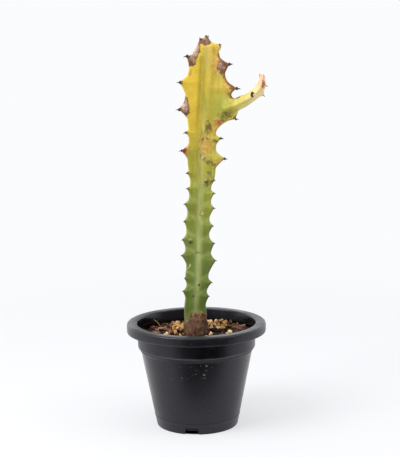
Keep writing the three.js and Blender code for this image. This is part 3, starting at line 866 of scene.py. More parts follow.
def in_drift(drift, x, y, margin=0.0):
    """How far out in a heap's oval a point lies: 0 at its centre, 1 at its edge."""
    turn = math.radians(-drift["turn"])
    right, away = x - drift["x"], y - drift["y"]
    across = right * math.cos(turn) - away * math.sin(turn)
    right_shade_and_dark_green = right * math.sin(turn) + away * math.cos(turn)
    return math.hypot(across / (drift["a"] + margin), right_shade_and_dark_green / (drift["b"] + margin))


def grain_centres(drift, draw):
    """The walk that places a heap's grains: each touches an earlier one and none crowds another."""
    centres = [(drift["x"], drift["y"], GRAIN_RADIUS)]
    tries = 0
    while tries < GRAIN_TRIES and len(centres) < drift["grains"]:
        tries += 1
        from_x, from_y, from_radius = centres[int(draw() * len(centres))]
        radius = GRAIN_RADIUS * (0.8 + 0.4 * draw())
        turn = 2 * math.pi * draw()
        step = 0.78 * (from_radius + radius)
        x, y = from_x + step * math.cos(turn), from_y + step * math.sin(turn)
        crowded = any(math.hypot(x - cx, y - cy) < 0.7 * (cr + radius) for cx, cy, cr in centres)
        on_stem = math.hypot(x, y) < HOLE_RADIUS + 1.5
        if not crowded and not on_stem and in_drift(drift, x, y) < 1:
            centres.append((x, y, radius))
    return centres


def heap_height(drift, x, y):
    return drift["heap"] * max(0, 1 - (in_drift(drift, x, y) / 0.9) ** 2)


def grit_grains(drift):
    """The heap's grains, small ones in the gaps, and a tone for each: dark where peat clings to it."""
    draw = seeded(drift["seed"]).__next__
    bodies, tones = [], []
    for number, (x, y, radius) in enumerate(grain_centres(drift, draw)):
        height = mix_top(x, y) + heap_height(drift, x, y) + 0.35 * radius
        size = radius * np.array([1.1, 0.75 + 0.35 * draw(), 0.7 + 0.25 * draw()])
        turns = any_turns(draw)
        bodies.append(lump(BALL, size * 0.8, turns, [x, y, height], number + drift["seed"], rough=0.34))
        buried = x < BARK_OVER_GRIT or (number % 4 == 3)
        tones.append(0.16 * draw() if buried else 0.3 + 0.7 * draw())
    fillers = 0
    while fillers < SMALL_GRAINS:
        x = drift["x"] + 1.25 * drift["a"] * (2 * draw() - 1)
        y = drift["y"] + 1.15 * drift["b"] * (2 * draw() - 1)
        radius = 0.6 + 0.9 * draw() ** 2
        if in_drift(drift, x, y, 2.0) < 1 and HOLE_RADIUS - 1 < math.hypot(x, y) < brim - 2:
            height = mix_top(x, y) + 0.8 * heap_height(drift, x, y) + 0.3 * radius
            size = radius * np.array([1.1, 0.9, 0.8])
            bodies.append(lump(PEA, size, any_turns(draw), [x, y, height], fillers))
            tones.append(0.5 * draw())
            fillers += 1
    return bodies, tones


print("heap centres:", [(drift["x"], drift["y"]) for drift in (LEFT_DRIFT, RIGHT_DRIFT)])

# %% [markdown]
# ## Pumice
#
# Pumice is a glass froth, so its grains are matt, pitted and pale. Iron in the ground stains them tan and
# orange, each one a little differently. A tone stored on each grain gives it its own colour without a
# material of its own. The Random Per Island value would do so as well, but then no grain could be chosen.

# %% Grit finish
pumice, tree, shader = new_finish("tan_pumice")
stone = ramp(tree, mask(tree, "tone"), [
    (0.0, hue(58, 37, 26)), (0.3, hue(150, 98, 58)), (0.6, hue(206, 154, 92)),
    (0.85, hue(228, 186, 128)), (1.0, hue(240, 208, 160)),
])
stone = tinted(tree, stone, 0.35, 500.0)
pits = specks(tree, 1700.0, 0.3, 0.4)
stone = mixed(tree, maths(tree, "MULTIPLY", pits, 0.45), stone, hue(110, 72, 44))
tree.links.new(stone, shader["Base Color"])
shader["Roughness"].default_value = 0.9
pitted = maths(tree, "SUBTRACT", relief(tree, 1300.0), maths(tree, "MULTIPLY", pits, 0.5))
bump(tree, shader, pitted, 0.0004)

for name, drift in (("left", LEFT_DRIFT), ("right", RIGHT_DRIFT)):
    grit = toned_piece(f"grit_{name}_grains", *grit_grains(drift))
    dressed(grit, pumice, "grit", f"grit_{name}")

# %% Loose grains
# place along X, place along Y, radius, tone
LOOSE = [
    (-22.2, 36, 2.3, 0.3), (-18.2, 23, 3, 0.75), (-12.8, 27, 2.2, 0.5), (-17.8, 8, 2, 0.75),
    (-12.6, 6, 2, 0.6), (-27.7, -9, 2.6, 0.9), (-24.5, -4, 1.9, 0.35), (-14.7, -14, 1.7, 0.5),
    (11, 34, 2.3, 0.85), (14, 35, 1.9, 1), (19.1, 37, 2.3, 0.9), (25.3, 46, 1.2, 0.8),
    (23, 24.5, 2.2, 0.6), (28, 30, 2.4, 0.65), (19.2, 18, 2, 0.35), (13, 22, 1.9, 0.75),
    (14, 9, 1.5, 0.85), (13.3, -15.5, 2, 0.95), (9.4, -18.8, 1.2, 0.7), (33, 38, 1, 0.6),
    (39.5, 30, 0.9, 0.9), (-9, -19, 1, 0.4),
]
LOOSE_COUNT = 40


def loose_grains():
    """Single grains of pumice that rolled away from the heaps, listed one by one and drawn by a seed."""
    rows = list(LOOSE)
    draw = seeded(61).__next__
    while len(rows) < LOOSE_COUNT:
        _, x, y = any_place(draw, 15, 34)
        rows.append((x, y, 0.5 + 0.9 * draw() ** 2, 0.7 * draw()))
    bodies = []
    for number, (x, y, radius, _) in enumerate(rows):
        size = radius * np.array([1.25, 0.92, 0.78])
        heap = max(heap_height(drift, x, y) for drift in (LEFT_DRIFT, RIGHT_DRIFT))
        height = mix_top(x, y) + 0.75 * radius + heap
        bodies.append(lump(BALL, size, any_turns(draw), [x, y, height], number + 90, rough=0.45))
    return bodies, [row[3] for row in rows]


dressed(toned_piece("loose_pumice", *loose_grains()), pumice, "grit")

# %% [markdown]
# ## The pale grain
#
# One grain at the front right is a pale yellow, rounder and smoother than the pumice. It has a node of its
# own in the frame, since its colour is its own, so it gets a finish of its own as well.

# %% Pale pebble
pale, tree, shader = new_finish("pale_stone")
tree.links.new(tinted(tree, hue(222, 205, 140), 0.25, 420.0), shader["Base Color"])
shader["Roughness"].default_value = 0.8
bump(tree, shader, relief(tree, 900.0), 0.0004)

draw = seeded(8).__next__
height = mix_top(PEBBLE["x"], PEBBLE["y"]) + 0.55 * PEBBLE["radius"]
size = PEBBLE["radius"] * np.array([1.1, 0.75 + 0.35 * draw(), 0.7 + 0.25 * draw()])
pebble_body = lump(BALL, size, any_turns(draw), [PEBBLE["x"], PEBBLE["y"], height], 3, rough=0.14)
pebble = make_piece("yellow_pebble", *pebble_body)
dressed(pebble, pale, "pale_pebble", "pale_pebble")

# %% [markdown]
# ## Bark, crumbs and straw
#
# The top of the mix is a litter of flat bark chips, crumbs of peat, a few white specks of perlite and thin
# straws. The big chips lie where the frame has them. Smaller ones are scattered round the whole top, clear
# of the heaps of grit and of the stem, and each is half sunk so that it rests on the mix.

# %% Bark chips
CHIP_COUNT = 26
CHIP_SEED = 11
FLAKE_COUNT = 230
# chips placed one by one: along X, along Y, length, width, turn in degrees, tone
CHIPS = [
    (-34, 18, 9.5, 6, 10, 0.95), (-27, 12, 9, 5, -30, 0.8), (-43, 3, 8, 5, 5, 0.85),
    (-37.5, 1, 8, 5, -25, 0.8), (-22, -3, 6, 4, 30, 0.35), (33, 21, 8, 5, 20, 0.65),
    (40, 11, 9, 5.5, -15, 0.75), (43, 18, 7, 4.5, 25, 0.95), (23, 2, 10, 5.5, -5, 0.35),
    (16, 2, 6, 4, 40, 0.15), (36, 2, 7, 4, -20, 0.55), (-31, -14, 6, 4, 15, 0.5), (20, -20, 7, 4, 10, 0.5),
]


def chip_places():
    """The large chips: place, size and turns, drawn as the frame's were."""
    draw = seeded(CHIP_SEED).__next__
    chips = []
    while len(chips) < CHIP_COUNT:
        out, x, y = any_place(draw, 19, 29)
        length, width, thick = 5 + 6 * draw(), 3.5 + 3 * draw(), 1.8 + 1.2 * draw()
        turns = (0.3 * (draw() - 0.5), 0.3 * (draw() - 0.5), math.pi * draw())
        reach = length / 2 + 1
        covered = any(in_drift(drift, x, y, reach + 2.5) < 1 for drift in (LEFT_DRIFT, RIGHT_DRIFT))
        on_pebble = math.hypot(x - PEBBLE["x"], y - PEBBLE["y"]) < PEBBLE["radius"] + reach + 1
        if not covered and not on_pebble and out + reach <= BAND_LOW_RADIUS - WALL - 1.5:
            chips.append((x, y, (length, width, thick), turns))
    return chips


def bark_flakes():
    bodies, tones = [], []
    draw = seeded(71).__next__
    for number, (x, y, size, turns) in enumerate(chip_places()):
        bodies.append(flake(size, turns, [x, y, mix_top(x, y) + 0.15 * size[2]], number))
        tones.append(0.75 * draw())
    for number, (x, y, length, width, turn, tone) in enumerate(CHIPS):
        turns = (0.5 * (draw() - 0.5), 0.5 * (draw() - 0.5), math.radians(turn))
        bodies.append(flake((length, width, 2.0), turns, [x, y, mix_top(x, y) + 1.3], number + 40))
        tones.append(tone)
    while len(bodies) < FLAKE_COUNT:
        out, x, y = any_place(draw, 14, 36)
        size = (2 + 5 * draw(), 1.2 + 2.6 * draw(), 0.8 + 1.2 * draw())
        turns = (1.1 * (draw() - 0.5), 1.1 * (draw() - 0.5), math.pi * draw())
        clear = all(in_drift(drift, x, y, 1.5) > 1 for drift in (LEFT_DRIFT, RIGHT_DRIFT))
        if clear and math.hypot(x - PEBBLE["x"], y - PEBBLE["y"]) > 5 and out < brim - 3:
            bodies.append(flake(size, turns, [x, y, mix_top(x, y) + 0.35 * size[2]], len(bodies)))
            tones.append(0.75 * draw() ** 1.5)
    return bodies, tones


bark, tree, shader = new_finish("bark_chips")
wood = ramp(tree, mask(tree, "tone"), [
    (0.0, hue(24, 16, 13)), (0.4, hue(58, 38, 30)), (0.7, hue(104, 70, 54)),
    (0.9, hue(144, 106, 82)), (1.0, hue(168, 130, 102)),
])
tree.links.new(tinted(tree, wood, 0.5, 420.0), shader["Base Color"])
shader["Roughness"].default_value = 0.9
shader["Specular IOR Level"].default_value = 0.25
bump(tree, shader, relief(tree, 1100.0), 0.0007)
dressed(toned_piece("bark_chips", *bark_flakes()), bark, "potting_mix")

# %% Crumbs and perlite
def crumbs(count, seed, low, high):
    """Small lumps all over the mix, from low to high radius, more of them small, and a tone for each."""
    draw = seeded(seed).__next__
    bodies = []
    for number in range(count):
        _, x, y = any_place(draw, 13, brim - 14)
        radius = low + (high - low) * draw() ** 3
        size = radius * np.array([1.2, 0.9, 0.7])
        place = [x, y, mix_top(x, y) + 0.5 * radius]
        bodies.append(lump(CRUMB, size, any_turns(draw), place, number, rough=0.8))
    return bodies, [0.8 * draw() ** 2 for _ in bodies]


crumb_piece = toned_piece("peat_crumbs", *crumbs(count=1500, seed=31, low=0.35, high=1.5))
dressed(crumb_piece, bark, "potting_mix")

perlite, tree, shader = new_finish("white_perlite")
tree.links.new(tinted(tree, hue(226, 216, 200), 0.2, 900.0), shader["Base Color"])
shader["Roughness"].default_value = 0.85
bump(tree, shader, relief(tree, 2500.0), 0.0002)
perlite_piece = toned_piece("perlite_specks", *crumbs(count=60, seed=47, low=0.3, high=0.9))
dressed(perlite_piece, perlite, "grit")

# %% Straws
def swept(line, radius, sides=6):
    """A thin closed tube along a line of points."""
    line = np.array(line, float)
    ways = np.gradient(line, axis=0)
    ways /= np.linalg.norm(ways, axis=1)[:, None]
    side = np.cross(ways, [0, 0, 1])
    side /= np.linalg.norm(side, axis=1)[:, None]
    upward = np.cross(side, ways)
    turn = np.linspace(0, 2 * np.pi, sides, endpoint=False)
    wide = np.broadcast_to(radius, len(line))[:, None, None]
    rim = side[:, None] * np.cos(turn)[None, :, None] + upward[:, None] * np.sin(turn)[None, :, None]
    return tube(line[:, None] + wide * rim)


# one straw stands up out of the left heap, from its foot to its end
LEANING_STRAW = ((-33.0, 20.0, 86.0), (-40.3, 24.3, 93.6))


def straws(count, seed):
    draw = seeded(seed).__next__
    bodies = []
    while len(bodies) < count:
        out, turn = 18 + 26 * draw(), 2 * math.pi * draw()
        x, y = out * math.cos(turn), out * math.sin(turn)
        head, length, curl = 2 * math.pi * draw(), 7 + 11 * draw(), 0.9 * (draw() - 0.5)
        share = np.linspace(-0.5, 0.5, 12)
        xs = x + length * share * np.cos(head + curl * share)
        ys = y + length * share * np.sin(head + curl * share)
        if np.hypot(xs, ys).max() < brim - 2 and np.hypot(xs, ys).min() > HOLE_RADIUS:
            lift = 1.3 + (share + 0.5) * 2.2 * draw()
            bodies.append(swept(np.stack([xs, ys, mix_top(xs, ys) + lift], 1), 0.22))
    share = np.linspace(0, 1, 12)[:, None]
    leaning = np.array(LEANING_STRAW[0]) * (1 - share) + np.array(LEANING_STRAW[1]) * share
    bodies.append(swept(leaning + [0, 0, 0.8] * np.sin(math.pi * share), 0.3))
    return gathered(bodies)


straw, tree, shader = new_finish("dry_straw")
tree.links.new(tinted(tree, hue(150, 116, 78), 0.5, 300.0), shader["Base Color"])
shader["Roughness"].default_value = 0.8
bump(tree, shader, relief(tree, 2000.0), 0.0001)
straw_piece = make_piece("straws", *straws(count=22, seed=5))
dressed(straw_piece, straw, "potting_mix")

# %% [markdown]
# ## How the stem is drawn
#
# A euphorbia of this kind has three ribs. Between them its faces are shallow hollows, and on each rib stand
# teeth with a pair of spines. The stem is a loft: at each height a section is drawn from the reach of the
# three ribs, and the reach comes from the outline in the picture. An outline is a smooth curve between the
# teeth, plus one tooth shape for each row of height, tip and lengths. Modelling it by hand in Edit Mode
# would look as good from the front. With rows, a tooth can be moved by changing one number.

# %% Rows of the stem
STEM_FOOT = 58
STEM_TOP = 358.6
FOOT_STEM_RADIUS = 12.1
LEAN_DEG = 0.62
CORK_TOP = 112
CORK_ROUND = 92
SIDE_RIB_DEG = 28
BACK_RIB_DEG = 92
RIB_ROOT = 5
RIB_ROOT_HALF = 4.5
RIB_CREST_HALF = 1.1
FACE_DEPTH = 5.7

# height, place along X
CORE_LINE = [
    (58, -0.3), (88, -0.3), (114, -1.2), (137, 0.6), (175, 1.6), (212, 2.8),
    (257, 4.8), (303, 7.3), (345, 9.6), (353, 9.2), (358.6, 7),
]
LEFT_EDGE = [
    (58, -12.4), (88, -12.4), (101, -11.9), (112, -11.3), (120, -10.4), (133, -9.3), (143, -10.2),
    (149, -9.4), (168, -10.3), (184, -9.2), (200, -8.3), (216, -6.5), (229, -5.6), (247, -7.8),
    (266, -6.7), (281, -7.5), (307, -10), (331, -6.4), (346, -2.6), (350, 0), (355, 2.2), (358.6, 3.2),
]
RIGHT_EDGE = [
    (58, 11.4), (88, 11.4), (105, 9.4), (114, 8.2), (127, 9.2), (141, 10.6), (164, 13), (180, 11.3),
    (195, 11.7), (210, 13), (224, 13.3), (235, 16.7), (261, 17.6), (274.5, 17.7), (281, 22.6),
    (285, 29), (288, 35), (297, 38), (303, 35.5), (307.5, 31.3), (326, 25.5), (345, 20.2),
    (350, 20.2), (355, 13.6), (358.6, 10.8),
]
BACK_EDGE = [
    (58, 12), (88, 12), (112, 9.8), (180, 10.6), (250, 12), (300, 15), (338, 12), (358.6, 4),
]

# height, tip along X, length of the upper side, length of the lower side
LEFT_TEETH = [
    (127.4, -12.8, 5, 7), (139.4, -11, 2.5, 5), (161.2, -14, 5, 9), (176, -13, 6, 8),
    (192.8, -11.4, 6, 8), (208.8, -11, 5, 7), (223, -8.6, 3, 6), (237.2, -8.9, 3, 5),
    (258, -14, 7, 9), (274.2, -10.2, 3, 5), (295.1, -16, 12, 9), (319.4, -15.2, 9, 11),
    (342.6, -8.8, 1.8, 12),
]
RIGHT_TEETH = [
    (122.6, 11.4, 4, 8), (135.8, 14, 5, 8), (156.6, 17.6, 7, 14), (172.5, 16.3, 5.5, 9),
    (188.6, 15.2, 5, 8), (205, 16.3, 5, 9), (218.7, 16.6, 3.5, 7), (230.5, 16.6, 2, 5),
    (250.8, 26, 8, 10), (269, 22.8, 4, 7), (286.6, 36, 2, 2), (314, 36.8, 9, 6),
    (335.4, 30.2, 7, 10), (352.8, 21.4, 1.8, 6),
]
print(len(LEFT_TEETH), "teeth on the left rib and", len(RIGHT_TEETH), "on the right")

# %% Curves and teeth
def along(rows, place, column=1):
    """A smooth curve through rows of (place, value, ...), read at an array of places."""
    rows, place = np.asarray(rows, float), np.atleast_1d(np.asarray(place, float))
    known, value = rows[:, 0], rows[:, column]
    before = np.maximum(np.arange(len(known)) - 1, 0)
    after = np.minimum(np.arange(len(known)) + 1, len(known) - 1)
    slope = (value[after] - value[before]) / (known[after] - known[before])
    i = np.clip(np.searchsorted(known, place, side="right") - 1, 0, len(known) - 2)
    span, rise = known[i + 1] - known[i], value[i + 1] - value[i]
    t = np.clip((place - known[i]) / span, 0, 1)
    start, end = slope[i] * span - rise, rise - slope[i + 1] * span
    return value[i] + rise * t + t * (1 - t) * (start * (1 - t) + end * t)


def tooth_share(tooth, height):
    """Share of a tooth's reach at a height: hollow above the tip, fuller below it."""
    tip, _, above, below = tooth
    away = height - tip
    over = np.clip(1 - away / above, 0, 1) ** 2
    under = np.clip(1 + away / below, 0, 1) ** 1.4
    return np.where(away >= 0, over, under)


def toothed_edge(edge, teeth, height):
    most = np.zeros_like(height)
    for tooth in teeth:
        reach = (tooth[1] - along(edge, tooth[0])) * tooth_share(tooth, height)
        most = np.where(np.abs(reach) > np.abs(most), reach, most)
    return along(edge, height) + most


def back_teeth():
    """The rib behind follows a seeded rule: a tooth every 15 mm or so, longer towards the head."""
    draw = seeded(3).__next__
    teeth, height = [], 118.0
    while height < 350:
        share = float(smooth(height, 230, 320))
        reach = (4.2 + 2.8 * share) * (0.75 + 0.5 * draw())
        teeth.append((height, float(along(BACK_EDGE, height)[0]) + reach, 5 + 3 * share, 7.5 + 3 * share))
        height += 14.5 * (0.9 + 0.3 * draw()) * (1 + 0.35 * share)
    return teeth


BACK_TEETH = back_teeth()
# direction in degrees and teeth of the ribs on the right, behind and on the left
RIBS = [(-SIDE_RIB_DEG, RIGHT_TEETH), (BACK_RIB_DEG, BACK_TEETH), (180 + SIDE_RIB_DEG, LEFT_TEETH)]


def ribs_at(height):
    """Direction in degrees and reach from the core's line of the three ribs, at an array of heights."""
    core = along(CORE_LINE, height)
    slant = math.cos(math.radians(SIDE_RIB_DEG))
    reaches = [
        (toothed_edge(RIGHT_EDGE, RIGHT_TEETH, height) - core) / slant,
        toothed_edge(BACK_EDGE, BACK_TEETH, height),
        (core - toothed_edge(LEFT_EDGE, LEFT_TEETH, height)) / slant,
    ]
    return [(degrees, reach) for (degrees, _), reach in zip(RIBS, reaches)]


def tooth_tip(number, height):
    """Place of the tip of a tooth on a rib, while the plant still stands upright."""
    degrees, reach = ribs_at(np.array([height], float))[number]
    turn, out = math.radians(degrees), float(reach[0])
    middle = float(along(CORE_LINE, height)[0])
    return middle + out * math.cos(turn), out * math.sin(turn), height


print(len(BACK_TEETH), "teeth on the rib behind")

# %% Section of the stem
# share of the way from a rib's crest to its root, and the side of the rib: 2 is the middle of a face
SECTION_STEPS = [(0, 0), (0.06, 1), (0.38, 1), (0.78, 1), (1, 2), (0.78, -1), (0.38, -1), (0.06, -1)]
BETWEEN = 4


def section_corners(height, taper):
    """The section's 24 corners at each height, as an array [height, corner, 2] round the core's line."""
    ribs = ribs_at(height)
    corners = []
    for number in range(24):
        share, side = SECTION_STEPS[number % 8]
        rib, after = ribs[number // 8], ribs[(number // 8 + 1) % 3]
        if side == 2:
            middle = math.radians((rib[0] + after[0] + (360 if after[0] < rib[0] else 0)) / 2)
            corners.append((FACE_DEPTH * taper * math.cos(middle), FACE_DEPTH * taper * math.sin(middle)))
            continue
        turn, reach = after if side < 0 else rib
        root = np.minimum(RIB_ROOT * taper, 0.6 * reach)
        out = reach - share * (reach - root)
        half = 0 if side == 0 else RIB_CREST_HALF + (RIB_ROOT_HALF - RIB_CREST_HALF) * share**1.2
        cos, sin = math.cos(math.radians(turn)), math.sin(math.radians(turn))
        corners.append((out * cos - half * taper * side * sin, out * sin + half * taper * side * cos))
    return np.moveaxis(np.array(corners), 2, 0)


def curved(corners):
    """Puts points on a smooth closed curve between the corners of each section."""
    before, after = np.roll(corners, 1, 1), np.roll(corners, -1, 1)
    beyond = np.roll(corners, -2, 1)
    steps = []
    for step in range(BETWEEN):
        t = step / BETWEEN
        steps.append(0.5 * (
            2 * corners + (after - before) * t
            + (2 * before - 5 * corners + 4 * after - beyond) * t**2
            + (3 * corners - before - 3 * after + beyond) * t**3
        ))
    return np.stack(steps, 2).reshape(len(corners), -1, 2)


def stem_rings():
    """Rings of the loft, every 0.9 mm and at each tooth's tip, with a rounded top."""
    tips = [tooth[0] for tooth in LEFT_TEETH + RIGHT_TEETH + BACK_TEETH]
    even = np.concatenate([[STEM_FOOT, STEM_FOOT + 4, 70, 80], np.arange(84, STEM_TOP, 0.9)])
    height = np.unique(np.round(np.concatenate([even, tips, [STEM_TOP]]), 3))
    keep = np.concatenate([[True], np.diff(height) > 0.15])
    height = height[keep]
    taper = 1 - 0.45 * smooth(height, 350, STEM_TOP)
    points = curved(section_corners(height, taper))
    waist = FOOT_STEM_RADIUS - 2 * smooth(height, 86, CORK_TOP) - 2.5 * (1 - smooth(height, 57, 62))
    round_share = (1 - smooth(height, CORK_ROUND, CORK_TOP))[:, None, None]
    scale = 1 + round_share * (waist[:, None, None] / np.linalg.norm(points, axis=2, keepdims=True) - 1)
    points = points * scale
    middle = along(CORE_LINE, height)
    points = points + np.stack([middle, 0 * middle], 1)[:, None]
    levels = np.broadcast_to(height[:, None, None], (*points.shape[:2], 1))
    return np.concatenate([points, levels], 2)


rings = stem_rings()
print("the stem has", rings.shape[0], "rings of", rings.shape[1], "points")

# %% [markdown]
# ## The side arm
#
# The arm leaves the right rib below the head, runs out level and turns up at its tip. It is slim, with
# three low ribs of its own and a few spines. It is a loft round a curved line, then joined to the stem with
# a Boolean. A Boolean alone leaves a hard crease, and a growing plant has none, so the points near the
# joint are relaxed towards their neighbours until it is a fillet.

# %% Arm
ARM_LINE = [
    (24, -9, 294.5, 6.5), (31.5, -12, 297.5, 7.1), (38.2, -14, 300.4, 6), (45.9, -15.5, 304.3, 4.8),
    (52.5, -16.5, 309, 4.4), (56.4, -17, 313.9, 4.2), (58.5, -17, 319.8, 3.1), (59.1, -17, 325.1, 1.9),
]
ARM_ROWS = [(i / (len(ARM_LINE) - 1), *row) for i, row in enumerate(ARM_LINE)]
ARM_SIDES = 40
ARM_RINGS = 90

# share of the arm's length, degrees round it from the front over below, reach, lean towards its tip
ARM_TEETH = [(0.53, -18, 1.2, -0.1), (0.655, 120, 2.4, -0.2), (0.8, 120, 1, 0.1), (0.985, 240, 0.6, 3)]


def arm_middle(share):
    return np.stack([along(ARM_ROWS, share, column) for column in (1, 2, 3)], -1)


def arm_way(share):
    way = arm_middle(share + 0.01) - arm_middle(np.asarray(share) - 0.01)
    return way / np.linalg.norm(way, axis=-1, keepdims=True)


def arm_outward(share, turn):
    """Direction out of the arm at a turn round it, from the front over below."""
    front = np.array([0.0, -1.0, 0.0])
    below = np.cross(arm_way(share), front)
    below /= np.linalg.norm(below, axis=-1, keepdims=True)
    return front * np.cos(turn)[..., None] + below * np.sin(turn)[..., None]


def arm_points(share, turn, depth=0.0):
    ridge = 0.5 + 0.5 * np.cos(3 * turn)
    reach = along(ARM_ROWS, share, 4) * (0.8 + 0.35 * ridge**1.5)
    for at, degrees, height, _ in ARM_TEETH:
        near = np.clip(1 - np.abs(share - at) / 0.08, 0, 1)
        reach = reach + height * near * np.clip(np.cos(turn - math.radians(degrees)), 0, 1) ** 6
    return arm_middle(share) + arm_outward(share, turn) * (reach - depth)[..., None]


arm_turns = np.linspace(0, 2 * np.pi, ARM_SIDES, endpoint=False)
arm_rings = [arm_points(np.full(ARM_SIDES, share), arm_turns) for share in np.linspace(0, 1, ARM_RINGS)]
tip, way = arm_middle(np.array([1.0]))[0], arm_way(np.array([1.0]))
last_ring = arm_rings[-1] - tip
for turn in (0.5, 0.9, 1.25):
    arm_rings.append(tip + last_ring * math.cos(turn) + way * 1.3 * math.sin(turn))
print("the arm's tip is at", [round(float(value), 1) for value in tip])

# %% Join and relax
TOP_KNOB = {"x": 9, "y": 0, "z": 357.8, "width": 1.9, "height": 3.2}
stem = make_piece("plant_skin", *tube(rings))
knob_size = [TOP_KNOB["width"], TOP_KNOB["width"], TOP_KNOB["height"]]
knob_place = [TOP_KNOB["x"], TOP_KNOB["y"], TOP_KNOB["z"]]
combined(stem, make_piece("arm", *tube(np.stack(arm_rings))), "UNION")
combined(stem, make_piece("knob", *lump(BALL, knob_size, (0, 0, 0), knob_place, 2, rough=0.35)), "UNION")


def relaxed(piece, centre, radius, rounds):
    """Moves the points near a place towards their neighbours, most at its centre."""
    body = bmesh.new()
    body.from_mesh(piece.data)
    near = [v for v in body.verts if (v.co / MM - centre).length < radius]
    for _ in range(rounds):
        aims = {}
        for vert in near:
            around = [edge.other_vert(vert).co for edge in vert.link_edges]
            pull = 0.6 * float(smooth(-(vert.co / MM - centre).length, -radius, -0.4 * radius))
            aims[vert] = vert.co.lerp(sum(around, Vector()) / len(around), pull)
        for vert, aim in aims.items():
            vert.co = aim
    body.to_mesh(piece.data)
    body.free()
    return len(near)


moved = relaxed(stem, Vector((33, -9, 298)), radius=13, rounds=24)
moved += relaxed(stem, Vector((9, 0, 357.5)), radius=4, rounds=4)
print(moved, "points relaxed round the joints")

# %% [markdown]
# ## What the finish needs to know
#
# The skin's colours follow its shape: a pale band down the middle of each face, brown at the tips of the
# teeth, bark at the foot. A shader can't see a rib, so those places are worked out here from the same rows
# and stored at the mesh's points, as soft values. The finish later breaks their borders with noise.

# %% Places on the skin
points = np.array([v.co for v in stem.data.vertices]) / MM
core = along(CORE_LINE, points[:, 2])
right, away, height = points[:, 0] - core, points[:, 1], points[:, 2]
ribs = ribs_at(height)

wing = np.zeros(len(points))
for turn, reach in ribs:
    cos, sin = math.cos(math.radians(turn)), math.sin(math.radians(turn))
    wing = np.maximum(wing, (right * cos + away * sin) / np.maximum(reach, 6))
band = np.zeros(len(points))
for middle in (-90, 32, 150):
    cos, sin = math.cos(math.radians(middle)), math.sin(math.radians(middle))
    across = np.abs(-right * sin + away * cos)
    band = np.maximum(band, np.exp(-((across / 2.6) ** 2)) * (right * cos + away * sin > 0))

arm_line = arm_middle(np.linspace(0, 1, 60))
to_arm = np.linalg.norm(points[:, None] - arm_line[None], axis=2)
arm_share = np.where(to_arm.min(1) < 9, to_arm.argmin(1) / 59, 0) * smooth(points[:, 0], 27, 36)
# painted shade: a darker gold along two shallow grooves either side of the head's pale band
crease_shade = np.zeros(len(points))
for place, width in ((-5.2, 1.5), (6.5, 1.7)):
    crease_shade = np.maximum(crease_shade, np.exp(-(((right - place) / width) ** 2)))
crease_shade = crease_shade * (away < 0) * smooth(height, 262, 290) * (1 - 0.6 * smooth(height, 338, 348))

pale_shoulder = np.zeros(len(points))
for rows, side in ((LEFT_TEETH, -right), (RIGHT_TEETH, right)):
    for tip_height, *_ in rows:
        from_line = (height - tip_height - 1.5 - 0.5 * side) / 2
        pale_shoulder = np.maximum(pale_shoulder, np.exp(-(from_line**2)) * smooth(side, 1, 4))
pale_shoulder = pale_shoulder * (1 - smooth(height, 215, 250))

tips = [tooth_tip(number, tooth[0]) for number, (_, teeth) in enumerate(RIBS) for tooth in teeth]
tips.extend([(3.4, -2.5, 357.6), (10.3, 0.5, 360), (14, 0, 354)])
tip_near = np.zeros(len(points))
for place in tips:
    away_from = np.linalg.norm((points - place) * [1, 1, 0.8], axis=1)
    reach = 3.2 + 1.8 * smooth(place[2], 240, 310) - 2.2 * smooth(place[2], 346, 352)
    tip_near = np.maximum(tip_near, 1 - smooth(away_from / reach, 0.15, 1.0))
under = np.zeros(len(points))
for tip_height, *_ in LEFT_TEETH[-3:] + RIGHT_TEETH[-3:-1]:
    under = np.maximum(under, smooth(wing, 0.62, 0.88) * np.exp(-(((height - tip_height + 7) / 3.5) ** 2)))
singed = np.clip(0.4 * tip_near + 0.2 * smooth(height, 350, 356) + 0.3 * under, 0, 1)
print("places found for", len(points), "points, with", len(tips), "tips")

# %% [markdown]
# ## Scars
#
# This plant has lived. Its head has dry grey-pink tissue along the edges, there are rust and tan patches
# under the arm, dark blotches, small pits, and pale scabs with a brown ring, and one tooth on the left is a
# dark maroon. Each is a soft oval, listed in millimetres on the front face. The sides and the back
# get a few of their own from a seed.

# %% Scars by kind
# place along X, height, half width, half height
DEAD = [
    (8.3, 357.3, 8.5, 7), (-0.4, 349.5, 5.2, 11), (-6, 339.5, 8, 8.5), (-10.5, 297, 5.5, 12.5),
    (26.5, 334.5, 10.3, 12.5), (29.5, 321, 3, 6), (35, 314.5, 7, 3.5), (35, 306, 6, 1.6), (36, 287, 4, 3),
]
RUST = [
    (-6.3, 328.6, 3, 5), (19.7, 283.3, 6, 5), (8.7, 262, 10.5, 14), (20, 336, 10, 14), (27, 318, 5, 12),
    (-11, 299, 6, 16), (16, 277, 9, 9), (20, 248, 7, 5), (-9.5, 258, 6, 8),
]
RED = [
    (-17.5, 257.5, 12, 9), (59.4, 317.5, 2.2, 5), (19.7, 283.3, 4.5, 4), (31.5, 319, 2, 5), (37, 308, 5, 3),
]
MAROON = [(-14.2, 258.2, 7, 6)]
PITS = [(-5.4, 173.2, 2.6, 2.2), (2.2, 133.2, 1.4, 2.2), (-2.9, 122.5, 1.4, 1.7), (9.6, 228.6, 1.6, 1.8)]
DARK = [
    (26.3, 289.5, 8.6, 4.8), (23.4, 285, 2.4, 2.4), (10.8, 278.4, 5, 8), (6, 267.6, 1.7, 3),
    (9.9, 268.5, 1.4, 1.8), (11, 247.3, 5.6, 3.4), (15.5, 245, 3, 2), (0.8, 163.5, 3.8, 1.3),
    (15.5, 230, 3.5, 2.6), (9.5, 228.5, 4.2, 5), (4.7, 200.2, 3, 4), (17, 266.5, 4, 2.4),
    (12, 237, 3, 5), (5.7, 252, 3, 4),
]
